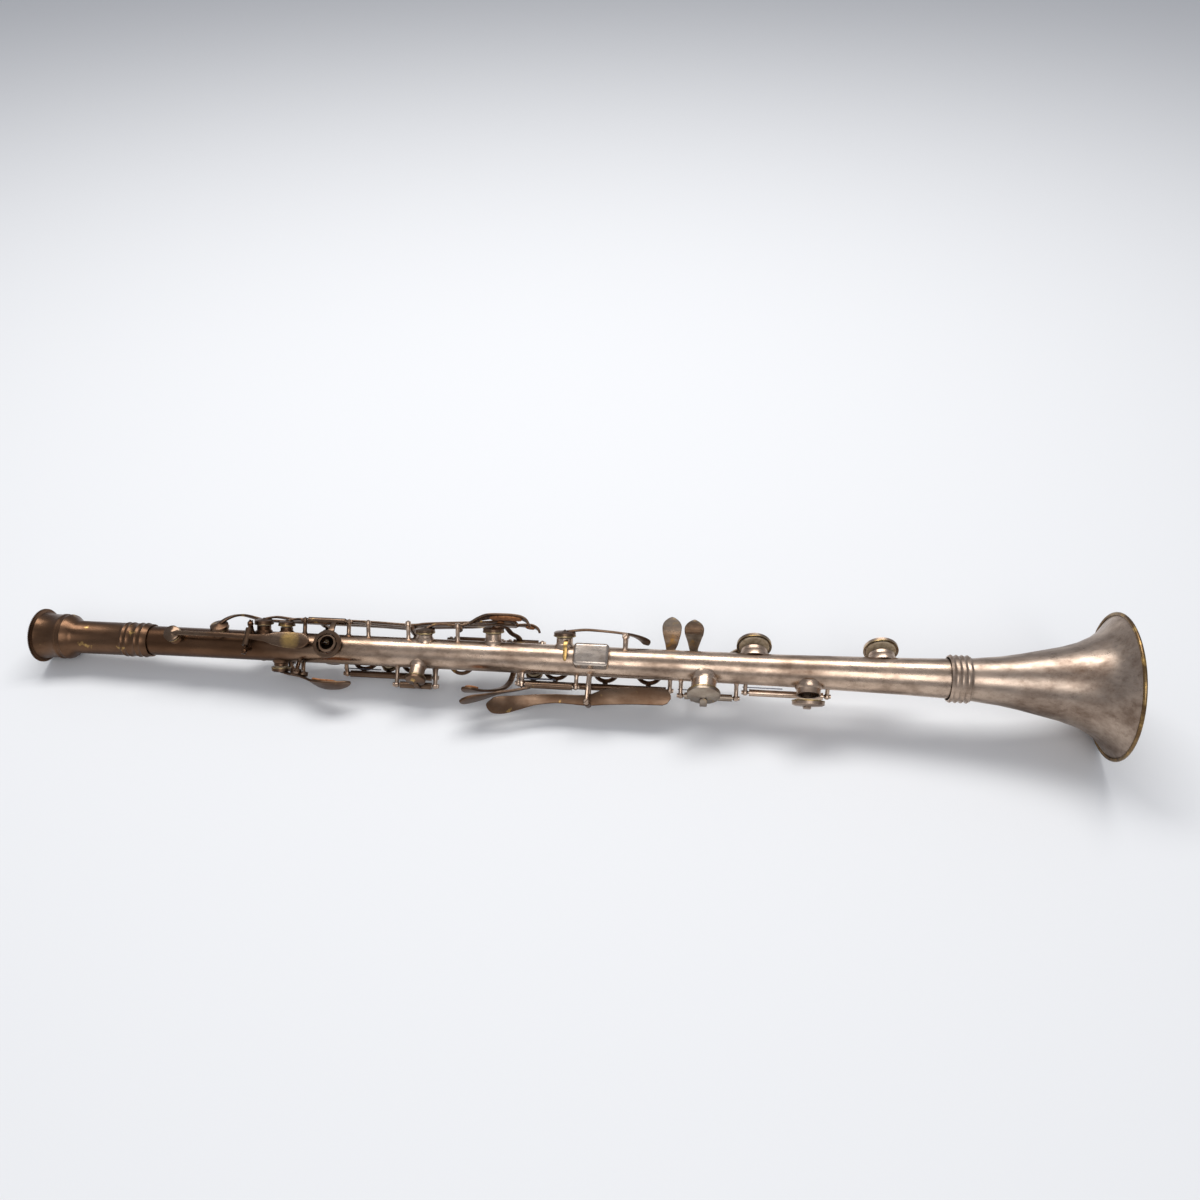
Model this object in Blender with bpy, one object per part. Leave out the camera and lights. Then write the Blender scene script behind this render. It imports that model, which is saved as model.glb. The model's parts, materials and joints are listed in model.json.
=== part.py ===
"""Metal clarinet without its mouthpiece, lying on its bell rim and barrel flange.

Lengths are in millimetres and turned into metres when a point is made.
Places on the instrument are given by s, the distance from the barrel's open
end, by r, the distance from the bore axis, and by an angle round the tube that
is 0 at the thumb side, 90 at the player's right and 180 at the finger side.
"""
import bpy
import bmesh
import math
from mathutils import Matrix, Vector

MM = 0.001

# Whole instrument
LENGTH = 595.0
TUBE_R = 8.3
WALL = 0.8
BORE_R = TUBE_R - WALL
FIT_GAP = 0.3
ROLL_DEG = 26.0

# Barrel
FLANGE_R = 15.3
CUP_R = 12.3
SOCKET_R = 10.9
SOCKET_DEPTH = 20.0
BARREL_WALL = 0.75
BARREL_R = TUBE_R + FIT_GAP + BARREL_WALL
BARREL_END = 67.0
TENON_START = 42.0
BARREL_PULL = 4.0
FLANGE_THICK = 1.3
BARREL_RINGS = (51.4, 54.4, 59.4, 62.8)

# Body and bell
BODY_END = 515.0
BODY_END_R = 10.8
FERRULE_START = 509.4
FERRULE_END = 520.4
RIM_R = 38.95
RIM_WIRE_R = 1.0
RIM_SETBACK = 1.8
RIM_LAP = 0.55
BELL_SEGMENTS = 40
TUBE_SEGMENTS = 32

# Posts, hinge tubes and pivot screws
POST_R = 1.15
BALL_R = 1.8
PIN_R = 0.8
HINGE_R = 1.9
PIN_HOLE_R = PIN_R + FIT_GAP
END_GAP = 0.35
PIN_REACH = 2.0
POST_SEGMENTS = 6
HINGE_SEGMENTS = 8

# Pads, cups and tone hole chimneys
PAD_THICK = 2.0
PAD_GAP = 0.3
CUP_WALL = 0.8
CUP_TOP = 0.9
CUP_RIM_LIFT = 0.9
NIPPLE = 1.2
CHIMNEY_SHARE = 0.75
CHIMNEY_WALL = 0.9
CUP_SEGMENTS = 12
RING_SEGMENTS = 16

# Arms and touches
ARM_W = 3.2
ARM_T = 1.5
OPEN_LIFT = 2.0
RING_LIFT = 1.2

# Tone holes: s, angle, distance of the chimney's rim from the axis, cup radius
REGISTER_HOLE = (84.0, 3.0, 10.6, 4.5)
TRILL_FOUR_HOLE = (109.0, 37.0, 9.8, 5.0)
TRILL_THREE_HOLE = (133.0, 62.0, 11.6, 5.2)
SIDE_FSHARP_HOLE = (146.0, 66.0, 11.0, 4.6)
SIDE_EFLAT_HOLE = (226.4, 60.0, 10.9, 5.4)
THUMB_VENT_HOLE = (166.0, 130.0, 9.6, 4.2)
A_HOLE = (128.0, 180.0, 10.6, 5.0)
GSHARP_HOLE = (143.0, -115.0, 10.6, 5.2)
UPPER_RING_HOLE = (203.0, -164.0, 10.6, 4.4)
THIRD_RING_HOLE = (259.0, 158.0, 10.6, 5.0)
SLIVER_HOLE = (224.0, -77.0, 14.6, 5.5)
CSHARP_HOLE = (264.8, 63.0, 12.8, 5.8)
LOWER_RING_HOLE = (286.5, -162.0, 10.6, 4.8)
CROSS_HOLE = (304.6, 63.0, 12.4, 6.0)
AFLAT_HOLE = (381.5, -76.0, 15.0, 8.8)
FSHARP_HOLE = (408.0, 103.0, 11.4, 9.4)
F_HOLE = (437.0, -90.0, 13.0, 8.6)
E_HOLE = (476.0, 103.0, 12.4, 9.2)

# Finger holes: s, angle
THUMB_HOLE = (173.3, 0.0)
FINGER_HOLES = ((189.0, 180.0), (217.0, 180.0), (244.5, 180.0), (299.0, 180.0), (327.0, 180.0), (351.0, 180.0))
FINGER_CHIMNEY_R = 5.1
FINGER_HOLE_R = 3.9
FINGER_RIM = 11.4
RING_INNER_R = FINGER_CHIMNEY_R + 0.8
RING_OUTER_R = 7.9
RING_LOW = 10.9
RING_HIGH = 12.5

# Materials: colour, roughness
METALS = {
    "tarnished_silver": ((0.45, 0.38, 0.32), 0.34),
    "dark_bronze": ((0.20, 0.14, 0.10), 0.40),
    "warm_silver": ((0.62, 0.54, 0.46), 0.28),
    "grey_silver": ((0.50, 0.47, 0.44), 0.30),
    "worn_brass": ((0.60, 0.42, 0.18), 0.32),
}


def clear_scene():
    for obj in list(bpy.data.objects):
        bpy.data.objects.remove(obj, do_unlink=True)


def radial(angle):
    a = math.radians(angle)
    return Vector((0.0, math.sin(a), math.cos(a)))


def polar(s, r, angle):
    return (Vector((s, 0.0, 0.0)) + radial(angle) * r) * MM


def metal(name):
    mat = bpy.data.materials.get(name)
    if mat:
        return mat
    colour, rough = METALS[name]
    mat = bpy.data.materials.new(name)
    mat.use_nodes = True
    shader = mat.node_tree.nodes["Principled BSDF"]
    shader.inputs["Base Color"].default_value = (*colour, 1.0)
    shader.inputs["Roughness"].default_value = rough
    shader.inputs["Metallic"].default_value = 1.0
    mat.diffuse_color = (*colour, 1.0)
    return mat


def soft(name, colour, rough):
    mat = bpy.data.materials.get(name)
    if mat:
        return mat
    mat = bpy.data.materials.new(name)
    mat.use_nodes = True
    shader = mat.node_tree.nodes["Principled BSDF"]
    shader.inputs["Base Color"].default_value = (*colour, 1.0)
    shader.inputs["Roughness"].default_value = rough
    mat.diffuse_color = (*colour, 1.0)
    return mat


def pad_leather():
    return soft("pad_leather", (0.55, 0.44, 0.30), 0.75)


def new_mesh(verts, faces):
    mesh = bpy.data.meshes.new("solid")
    mesh.from_pydata([tuple(v) for v in verts], [], faces)
    bm = bmesh.new()
    bm.from_mesh(mesh)
    bmesh.ops.recalc_face_normals(bm, faces=bm.faces)
    bm.to_mesh(mesh)
    bm.free()
    return mesh


def lathe(profile, origin, axis, segments, closed=False):
    """Turned solid: profile holds (height along the axis, radius) in millimetres."""
    axis = axis.normalized()
    side = axis.orthogonal().normalized()
    if abs(axis.x) < 0.9:
        side = (Vector((1.0, 0.0, 0.0)) - axis * axis.x).normalized()
    other = axis.cross(side)
    verts = []
    rings = []
    for height, radius in profile:
        base = origin + axis * height * MM
        if radius == 0.0:
            rings.append([len(verts)])
            verts.append(base)
            continue
        ring = []
        for i in range(segments):
            a = math.tau * i / segments
            ring.append(len(verts))
            verts.append(base + (side * math.cos(a) + other * math.sin(a)) * radius * MM)
        rings.append(ring)
    pairs = list(zip(rings, rings[1:]))
    if closed:
        pairs.append((rings[-1], rings[0]))
    faces = []
    for low, high in pairs:
        for i in range(segments):
            j = (i + 1) % segments
            if len(low) == 1:
                faces.append((low[0], high[i], high[j]))
            elif len(high) == 1:
                faces.append((low[i], high[0], low[j]))
            else:
                faces.append((low[i], high[i], high[j], low[j]))
    return new_mesh(verts, faces)


def strap(stations, thick=ARM_T):
    """Bent flat bar: each station is s, r, angle and width, and the way it faces if not outward."""
    points = [polar(*station[:3]) for station in stations]
    verts = []
    faces = []
    count = len(stations)
    for i, station in enumerate(stations):
        width = station[3]
        ahead = points[min(i + 1, count - 1)]
        behind = points[max(i - 1, 0)]
        along = (ahead - behind).normalized()
        up = radial(station[-1] if len(station) > 4 else station[2])
        up = (up - along * up.dot(along)).normalized()
        side = along.cross(up).normalized()
        w = width * 0.5 * MM
        t = thick * 0.5 * MM
        c = min(w, t) * 0.5
        outline = ((w, t - c), (w - c, t), (c - w, t), (-w, t - c), (-w, c - t), (c - w, -t), (w - c, -t), (w, c - t))
        for x, y in outline:
            verts.append(points[i] + side * x + up * y)
    sides = 8
    for i in range(count - 1):
        for k in range(sides):
            n = (k + 1) % sides
            a = i * sides
            b = a + sides
            faces.append((a + k, a + n, b + n, b + k))
    faces.append(tuple(range(sides)))
    faces.append(tuple(range((count - 1) * sides, count * sides)))
    return new_mesh(verts, faces)


def rod(start, end, radius, segments=POST_SEGMENTS):
    axis = end - start
    length = axis.length / MM
    return lathe(((0.0, 0.0), (0.0, radius), (length, radius), (length, 0.0)), start, axis, segments)


def temp_object(mesh):
    obj = bpy.data.objects.new("temp", mesh)
    bpy.context.scene.collection.objects.link(obj)
    return obj


def baked(obj, group, operation):
    """Mesh of obj after one exact Boolean with every mesh in group."""
    holder = bpy.data.collections.new("group")
    bpy.context.scene.collection.children.link(holder)
    others = []
    for mesh in group:
        other = bpy.data.objects.new("temp", mesh)
        holder.objects.link(other)
        others.append(other)
    mod = obj.modifiers.new("cut", "BOOLEAN")
    mod.operation = operation
    mod.solver = "EXACT"
    mod.operand_type = "COLLECTION"
    mod.collection = holder
    graph = bpy.context.evaluated_depsgraph_get()
    mesh = bpy.data.meshes.new_from_object(obj.evaluated_get(graph))
    obj.modifiers.clear()
    for other in others:
        bpy.data.objects.remove(other, do_unlink=True)
    bpy.data.collections.remove(holder)
    return mesh


def fuse(solids, cuts=()):
    """One closed mesh from overlapping solids, with the cuts taken out."""
    obj = temp_object(solids[0])
    if len(solids) > 1:
        obj.data = baked(obj, solids[1:], "UNION")
    if cuts:
        obj.data = baked(obj, list(cuts), "DIFFERENCE")
    mesh = obj.data
    bpy.data.objects.remove(obj, do_unlink=True)
    bm = bmesh.new()
    bm.from_mesh(mesh)
    bmesh.ops.remove_doubles(bm, verts=bm.verts, dist=2e-6)
    bmesh.ops.holes_fill(bm, edges=[e for e in bm.edges if e.is_boundary], sides=4)
    bm.to_mesh(mesh)
    bm.free()
    return mesh


def rest_pose():
    """Empty that stands the instrument on its bell rim and barrel flange, thumb side up and forward."""
    empty = bpy.data.objects.new("rest_pose", None)
    bpy.context.scene.collection.objects.link(empty)
    tilt = math.asin((RIM_R - FLANGE_R) / LENGTH)
    turn = Matrix.Rotation(-tilt, 4, "Y") @ Matrix.Rotation(math.radians(ROLL_DEG), 4, "X")
    empty.matrix_world = turn
    return empty


def settle(empty):
    """Moves the rest pose so that the whole box stands on zero height with its middle over the origin."""
    bpy.context.view_layer.update()
    low = Vector((1e9, 1e9, 1e9))
    high = -low
    for obj in bpy.data.objects:
        if obj.type != "MESH":
            continue
        for v in obj.data.vertices:
            p = obj.matrix_world @ v.co
            low = Vector(map(min, low, p))
            high = Vector(map(max, high, p))
    shift = Vector(((low.x + high.x) * -0.5, (low.y + high.y) * -0.5, -low.z))
    empty.matrix_world = Matrix.Translation(shift) @ empty.matrix_world
    bpy.context.view_layer.update()


def place(name, mesh, material, pose, origin=None):
    """Object with its origin on the given point, such as its hinge axis."""
    if origin is not None:
        mesh.transform(Matrix.Translation(-origin))
    mesh.materials.clear()
    mesh.materials.append(material)
    mesh.shade_smooth()
    mesh.set_sharp_from_angle(angle=math.radians(35.0))
    mesh.name = name
    obj = bpy.data.objects.new(name, mesh)
    bpy.context.scene.collection.objects.link(obj)
    obj.parent = pose
    if origin is not None:
        obj.location = origin
    return obj


# Shapes that repeat


def tube_radius(s):
    """Outer radius of the body tube, which widens below the last finger hole."""
    marks = ((0.0, TUBE_R), (370.0, TUBE_R), (422.0, 8.6), (459.0, 9.3), (485.0, 9.8), (500.0, 10.3),
             (BODY_END, BODY_END_R))
    for (s0, r0), (s1, r1) in zip(marks, marks[1:]):
        if s <= s1:
            return r0 + (r1 - r0) * (s - s0) / (s1 - s0)
    return BODY_END_R


def chimney(hole):
    s, angle, rim, cup_r = hole
    outer = cup_r * CHIMNEY_SHARE
    base = tube_radius(s)
    low = base - WALL * 0.6 - outer * 0.35
    profile = ((low, 0.0), (low, outer + 1.0), (base + 0.1, outer + 0.8), (base + 1.1, outer), (rim, outer), (rim, 0.0))
    return lathe(profile, polar(s, 0.0, angle), radial(angle), CUP_SEGMENTS)


def chimney_bore(hole):
    s, angle, rim, cup_r = hole
    bore = cup_r * CHIMNEY_SHARE - CHIMNEY_WALL
    return lathe(((2.0, 0.0), (2.0, bore), (rim + 2.0, bore), (rim + 2.0, 0.0)), polar(s, 0.0, angle),
                 radial(angle), CUP_SEGMENTS)


def finger_chimney(hole):
    s, angle = hole
    r = FINGER_CHIMNEY_R
    profile = ((6.0, 0.0), (6.0, r), (FINGER_RIM - 0.5, r), (FINGER_RIM, r - 0.5), (FINGER_RIM, 0.0))
    return lathe(profile, polar(s, 0.0, angle), radial(angle), CUP_SEGMENTS)


def finger_bore(hole):
    s, angle = hole
    r = FINGER_HOLE_R
    return lathe(((2.0, 0.0), (2.0, r), (FINGER_RIM + 2.0, r), (FINGER_RIM + 2.0, 0.0)), polar(s, 0.0, angle),
                 radial(angle), CUP_SEGMENTS)


def cup(hole):
    """Pad cup with a pointed centre over a tone hole."""
    s, angle, rim, r = hole
    low = rim + CUP_RIM_LIFT
    roof = rim + PAD_GAP + PAD_THICK + PAD_GAP
    top = roof + CUP_TOP
    profile = ((roof, 0.0), (roof, r - CUP_WALL), (low, r - CUP_WALL), (low, r), (top - 0.5, r),
               (top, r - 0.9), (top + 0.25, 1.3), (top + NIPPLE, 0.0))
    return lathe(profile, polar(s, 0.0, angle), radial(angle), CUP_SEGMENTS)


def cup_top(hole):
    return hole[2] + PAD_GAP + PAD_THICK + PAD_GAP + CUP_TOP


def over_cup(hole, across, width=ARM_W, along=0.0):
    """Station level with the top of a pad cup, the given distances round and along from its centre."""
    height = cup_top(hole)
    turn = math.degrees(math.atan2(across, height))
    return hole[0] + along, math.hypot(height, across), hole[1] + turn, width, hole[1]


def pad(hole):
    s, angle, rim, cup_r = hole
    r = cup_r - CUP_WALL - PAD_GAP
    low = rim + PAD_GAP
    high = low + PAD_THICK
    profile = ((low, 0.0), (low, r - 0.5), (low + 0.5, r), (high, r), (high, 0.0))
    return lathe(profile, polar(s, 0.0, angle), radial(angle), CUP_SEGMENTS)


def post(s, angle, ball):
    """Round post on the tube with a ball head whose centre is at the given radius."""
    base = tube_radius(s)
    profile = [(base - 0.7, 0.0), (base - 0.7, 1.8), (base + 0.9, POST_R), (ball - 1.4, POST_R)]
    for step in (-15.0, 40.0):
        a = math.radians(step)
        profile.append((ball + BALL_R * math.sin(a), BALL_R * math.cos(a)))
    profile.append((ball + BALL_R, 0.0))
    return lathe(profile, polar(s, 0.0, angle), radial(angle), POST_SEGMENTS)


def end_inset(axle):
    """Distance from a ball's centre to the hinge tube's end, clear of the ball and of a leaning post."""
    spread = (axle[0][1] - axle[1][1] + 180.0) % 360.0 - 180.0
    lean = math.radians(abs(spread) * 0.5)
    beside_post = HINGE_R * math.tan(lean) + POST_R / math.cos(lean) + END_GAP
    return max(BALL_R + END_GAP, beside_post)


def pins(axle):
    """Pivot screw tips that reach from the two ball heads into the hinge tube."""
    start, end = axle_ends(axle)
    along = (end - start).normalized()
    reach = (end_inset(axle) + PIN_REACH) * MM
    return [rod(start, start + along * reach, PIN_R), rod(end, end - along * reach, PIN_R)]


def axle_ends(axle):
    return [polar(s, ball, angle) for s, angle, ball in axle]


def axle_posts(axle):
    first, second = axle
    return [post(*first), post(*second)] + pins(axle)


def hinge_tube(axle):
    """Hinge tube between two posts; its end holes for the pivot screws are cut later."""
    start, end = axle_ends(axle)
    inset = (end - start).normalized() * end_inset(axle) * MM
    return rod(start + inset, end - inset, HINGE_R, HINGE_SEGMENTS)


def pin_holes(axle):
    """Cutters that keep the hinge tube's two end holes clear of the arms."""
    start, end = axle_ends(axle)
    along = (end - start).normalized()
    reach = (end_inset(axle) + PIN_REACH + FIT_GAP) * MM
    return [rod(start, start + along * reach, PIN_HOLE_R), rod(end, end - along * reach, PIN_HOLE_R)]


def finger_ring(hole):
    s, angle = hole
    profile = ((RING_LOW, RING_INNER_R), (RING_LOW, RING_OUTER_R), (RING_HIGH - 0.4, RING_OUTER_R),
               (RING_HIGH, RING_OUTER_R - 0.4), (RING_HIGH, RING_INNER_R))
    return lathe(profile, polar(s, 0.0, angle), radial(angle), RING_SEGMENTS, closed=True)


def axle_middle(axle):
    start, end = axle_ends(axle)
    return (start + end) * 0.5


# Hinge axles: two posts, each with s, angle and distance of its ball from the axis

REGISTER_AXLE = ((128.0, 35.5, 15.0), (128.0, -29.5, 15.0))
THUMB_AXLE = ((156.5, 68.0, 15.6), (182.0, 68.0, 15.6))
A_AXLE = ((146.0, 145.0, 15.2), (146.0, -145.0, 15.2))
GSHARP_AXLE = ((156.0, -75.0, 15.4), (156.0, -115.0, 15.4))
UPPER_AXLE = ((180.0, -134.0, 15.0), (231.0, -134.0, 15.0))
THIRD_AXLE = ((237.5, 128.0, 15.0), (267.0, 128.0, 15.0))
SLIVER_AXLE = ((211.0, -108.0, 18.0), (233.0, -108.0, 18.0))
CSHARP_AXLE = ((271.5, 128.0, 15.0), (290.0, 128.0, 15.0))
LOWER_AXLE = ((279.0, -128.0, 15.0), (363.0, -128.0, 15.0))
CROSS_AXLE = ((338.0, 52.0, 15.4), (338.0, 92.0, 15.4))
AFLAT_AXLE = ((369.0, -118.0, 16.5), (399.0, -118.0, 16.5))
FSHARP_AXLE = ((361.4, 150.0, 15.0), (399.0, 150.0, 15.0))
F_AXLE = ((404.0, -138.0, 15.0), (448.0, -138.0, 15.0))
E_AXLE = ((405.0, 150.0, 15.0), (488.0, 150.0, 15.6))
SIDE_AXLE = ((217.0, 56.0, 16.8), (217.0, 124.0, 16.8))
SIDE_EFLAT_AXLE = ((245.0, 56.0, 16.8), (245.0, 124.0, 16.8))
LEFT_ONE_AXLE = ((282.0, -98.0, 14.6), (312.0, -98.0, 14.6))
LEFT_TWO_AXLE = ((319.0, -82.0, 24.0), (319.0, -112.0, 24.0))


def body_shell():
    marks = [(TENON_START, TUBE_R), (370.0, TUBE_R)]
    for s in (422.0, 459.0, 485.0, 500.0, BODY_END):
        marks.append((s, tube_radius(s)))
    inner = [(s, r - WALL) for s, r in reversed(marks)]
    return marks, inner


def build_body(pose, axles, holes):
    marks, inner = body_shell()
    solids = [lathe([(marks[0][0], 0.0)] + marks + [(marks[-1][0], 0.0)], Vector(), Vector((1.0, 0.0, 0.0)),
                    TUBE_SEGMENTS)]
    cuts = []
    for hole in holes:
        solids.append(chimney(hole))
        cuts.append(chimney_bore(hole))
    for hole in (THUMB_HOLE,) + FINGER_HOLES:
        solids.append(finger_chimney(hole))
        cuts.append(finger_bore(hole))
    for axle in axles:
        solids.extend(axle_posts(axle))
    solids.extend(side_pivots())
    start = inner[0][0]
    bore = [(BODY_END + 5.0, 0.0), (BODY_END + 5.0, inner[0][1])] + inner
    bore += [(TENON_START - 5.0, BORE_R), (TENON_START - 5.0, 0.0)]
    cuts.append(lathe(bore, Vector(), Vector((1.0, 0.0, 0.0)), TUBE_SEGMENTS))
    return place("body_tube", fuse(solids, cuts), metal("warm_silver"), pose)


def build_barrel(pose):
    """Mouthpiece barrel: milled flange, flared cup with beads, and a turned sleeve."""
    outer = [(0.0, FLANGE_R), (FLANGE_THICK, FLANGE_R), (FLANGE_THICK + 0.5, 13.4), (4.0, 12.8), (8.0, CUP_R + 0.2),
             (12.0, CUP_R + 0.2), (12.9, 12.9), (13.9, 12.9), (14.5, CUP_R), (16.4, CUP_R), (17.0, 12.8),
             (18.4, 12.4), (20.6, BARREL_R + 1.2), (22.6, BARREL_R), (50.0, BARREL_R)]
    for start in BARREL_RINGS:
        outer += [(start, BARREL_R + 0.1), (start + 0.7, BARREL_R + 0.55), (start + 1.4, BARREL_R + 0.1)]
    outer.append((BARREL_END, BARREL_R - 0.1))
    inner = [(BARREL_END, TUBE_R + FIT_GAP), (TENON_START - 1.0 - BARREL_PULL, TUBE_R + FIT_GAP),
             (TENON_START - 1.0 - BARREL_PULL, BORE_R), (SOCKET_DEPTH, BORE_R), (SOCKET_DEPTH, SOCKET_R),
             (0.0, SOCKET_R)]
    mesh = lathe(outer + inner, Vector(), Vector((1.0, 0.0, 0.0)), TUBE_SEGMENTS, closed=True)
    return place("barrel", mesh, metal("dark_bronze"), pose)


# Bell flare: share of its length and share of its rise from the tube's end to the rim
BELL_FLARE = ((0.0, 0.0), (0.073, 0.016), (0.272, 0.086), (0.403, 0.16), (0.533, 0.25), (0.664, 0.34), (0.779, 0.453),
              (0.869, 0.594), (0.933, 0.75), (0.979, 0.914), (1.0, 1.0))


def bell_marks():
    """Outside of the bell from the body's end to just inside the rim wire."""
    start = BODY_END + FIT_GAP
    length = LENGTH - RIM_SETBACK - start
    rise = RIM_R - 2.0 * RIM_WIRE_R - RIM_LAP - BODY_END_R
    return [(start + length * along, BODY_END_R + rise * up) for along, up in BELL_FLARE]


def build_bell(pose):
    outer = bell_marks()
    inner = [(s + 0.5, r - WALL) for s, r in reversed(outer[1:])]
    inner.append((outer[0][0], outer[0][1] - WALL))
    mesh = lathe(outer + inner, Vector(), Vector((1.0, 0.0, 0.0)), BELL_SEGMENTS, closed=True)
    place("bell", mesh, metal("grey_silver"), pose)
    loop = []
    centre_s = LENGTH - RIM_WIRE_R
    for i in range(8):
        a = math.tau * i / 8 + math.pi / 8
        scale = RIM_WIRE_R / math.cos(math.pi / 8)
        loop.append((centre_s + scale * math.cos(a), RIM_R - RIM_WIRE_R + scale * math.sin(a)))
    shift = outer[-1][1] + FIT_GAP
    loop = [(s, max(r, shift)) for s, r in loop]
    ring = lathe(loop, Vector(), Vector((1.0, 0.0, 0.0)), BELL_SEGMENTS, closed=True)
    place("bell_rim_wire", ring, metal("worn_brass"), pose)


def build_ferrule(pose):
    inner = bell_marks()[1][1] + FIT_GAP
    outer = []
    for start in (FERRULE_START, FERRULE_START + 2.9, FERRULE_START + 5.8, FERRULE_START + 8.6):
        outer += [(start, inner + 0.6), (start + 1.1, inner + 1.3), (start + 2.2, inner + 0.6)]
    mesh = lathe(outer + [(FERRULE_END, inner + 0.6), (FERRULE_END, inner), (FERRULE_START, inner)], Vector(),
                 Vector((1.0, 0.0, 0.0)), TUBE_SEGMENTS, closed=True)
    place("bell_ferrule", mesh, metal("grey_silver"), pose)


REST_S = 310.6
REST_LENGTH = 19.4
REST_WIDTH = 13.0
REST_TOP = 12.6
REST_ANGLE = 3.0


def build_thumb_rest(pose):
    """Hollow thumb block with rounded edges, seated on the thumb side of the tube."""
    bm = bmesh.new()
    bmesh.ops.create_cube(bm, size=1.0)
    height = REST_TOP - 4.0
    for v in bm.verts:
        v.co = Vector((v.co.x * REST_LENGTH, v.co.y * REST_WIDTH, v.co.z * height)) * MM
    edges = [e for e in bm.edges if max(v.co.z for v in e.verts) > 0.0]
    bmesh.ops.bevel(bm, geom=edges, offset=2.2 * MM, segments=3, profile=0.5, affect="EDGES")
    mesh = bpy.data.meshes.new("solid")
    bm.to_mesh(mesh)
    bm.free()
    centre = polar(REST_S + REST_LENGTH * 0.5, 4.0 + height * 0.5, REST_ANGLE)
    mesh.transform(Matrix.Translation(centre) @ Matrix.Rotation(-math.radians(REST_ANGLE), 4, "X"))
    clear = TUBE_R + FIT_GAP
    tube = lathe(((290.0, 0.0), (290.0, clear), (350.0, clear), (350.0, 0.0)), Vector(), Vector((1.0, 0.0, 0.0)),
                 TUBE_SEGMENTS)
    place("thumb_rest", fuse([mesh], [tube]), metal("warm_silver"), pose)


def lift_turn(axle, hole, lift):
    """Turn about the axle, in radians, that raises a pad's centre off its hole by the lift."""
    start, end = axle_ends(axle)
    along = (end - start).normalized()
    arm = polar(hole[0], hole[2], hole[1]) - start
    arm -= along * arm.dot(along)
    return lift * MM / along.cross(arm).dot(radial(hole[1]))


def build_key(name, axle, solids, pose, material="tarnished_silver", hole=None, lift=0.0):
    """Key that turns on its axle; a key that stands open is made closed and then turned by its lift."""
    parts = [hinge_tube(axle)] + solids
    if hole:
        parts.append(cup(hole))
    middle = axle_middle(axle)
    start, end = axle_ends(axle)
    pieces = [place(name, fuse(parts, pin_holes(axle)), metal(material), pose, middle)]
    if hole:
        pieces.append(place(name + "_pad", pad(hole), pad_leather(), pose, middle))
        turn = Matrix.Rotation(lift_turn(axle, hole, lift), 4, (end - start).normalized())
        for obj in pieces:
            obj.rotation_euler = turn.to_euler()


def register_key(pose):
    s, angle, rim, r = REGISTER_HOLE
    top = cup_top(REGISTER_HOLE)
    arm = strap(((s + 1.0, top, angle, 2.6), (110.0, 14.6, angle, 2.6), (128.0, 13.4, angle, 3.0),
                 (138.0, 13.6, 2.0, 4.0), (143.0, 13.3, 1.0, 7.0), (150.0, 12.6, 0.5, 9.0), (157.0, 12.3, 0.0, 9.4),
                 (161.0, 12.2, 0.0, 7.6), (163.6, 12.2, 0.0, 3.6)), 1.4)
    build_key("register_key", REGISTER_AXLE, [arm], pose, hole=REGISTER_HOLE)


def thumb_ring_key(pose):
    ring = finger_ring(THUMB_HOLE)
    s = THUMB_HOLE[0]
    arm = strap(((s + 1.0, 13.4, 29.0, 5.0), (s + 1.0, 14.0, 42.0, 3.4), (s + 1.0, 15.4, 66.0, 2.8)), 1.5)
    hole = THUMB_VENT_HOLE
    back = strap(((hole[0], 14.3, 68.0, 3.0), (hole[0], 13.2, 80.0, 3.0), (hole[0], 13.0, 96.0, 3.0),
                  over_cup(hole, -5.0, 3.0), over_cup(hole, 0.0, 3.0)), 1.3)
    build_key("thumb_ring_key", THUMB_AXLE, [ring, arm, back], pose, hole=hole, lift=RING_LIFT)


def a_key(pose):
    s = A_HOLE[0]
    top = cup_top(A_HOLE)
    arm = strap(((s + 1.0, top, 180.0, 2.8), (138.0, 14.2, 180.0, 3.0), (146.0, 13.2, 180.0, 4.0),
                 (158.0, 14.6, 180.0, 5.0), (166.0, 15.6, 180.0, 9.0), (172.0, 16.0, 180.0, 8.6),
                 (176.0, 16.0, 180.0, 4.0)), 1.5)
    build_key("a_key", A_AXLE, [arm], pose, hole=A_HOLE)


def throat_gsharp_key(pose):
    s = GSHARP_HOLE[0]
    top = cup_top(GSHARP_HOLE)
    arm = strap(((s + 1.0, top, -112.0, 2.8), (150.0, 15.4, -100.0, 3.0), (156.0, 16.4, -94.0, 4.4),
                 (162.0, 18.6, -88.0, 4.6), (167.0, 21.0, -84.0, 8.0), (173.0, 22.2, -82.0, 10.0),
                 (180.0, 22.0, -82.0, 9.4), (185.0, 20.8, -82.0, 6.4), (187.6, 19.8, -82.0, 2.6)), 1.4)
    hub = strap(((150.5, 14.9, -96.0, 5.0), (160.5, 15.2, -96.0, 5.0)), 2.6)
    build_key("throat_gsharp_key", GSHARP_AXLE, [arm, hub], pose, hole=GSHARP_HOLE)


# Side levers share one axle: each runs in its own lane, z millimetres toward the thumb side

SIDE_HEIGHT = 13.9
LEVER_W = 2.8
LANE_STEP = 3.2
LANES = (1.5, 0.5, -0.5, -1.5)


def lane(s, y, z, width=LEVER_W):
    """Station of a side lever at height y over the axis, facing straight out to the player's right."""
    return s, math.hypot(y, z), math.degrees(math.atan2(y, z)), width, 90.0


def lane_hub(s, z, reach=LEVER_W):
    """Hub of a side lever round its axle, with the axle's hole as a cutter."""
    low = Vector((s, SIDE_HEIGHT, z - reach * 0.5)) * MM
    high = Vector((s, SIDE_HEIGHT, z + reach * 0.5)) * MM
    longer = Vector((0.0, 0.0, MM))
    return rod(low, high, HINGE_R, HINGE_SEGMENTS), rod(low - longer, high + longer, PIN_HOLE_R)


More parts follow.
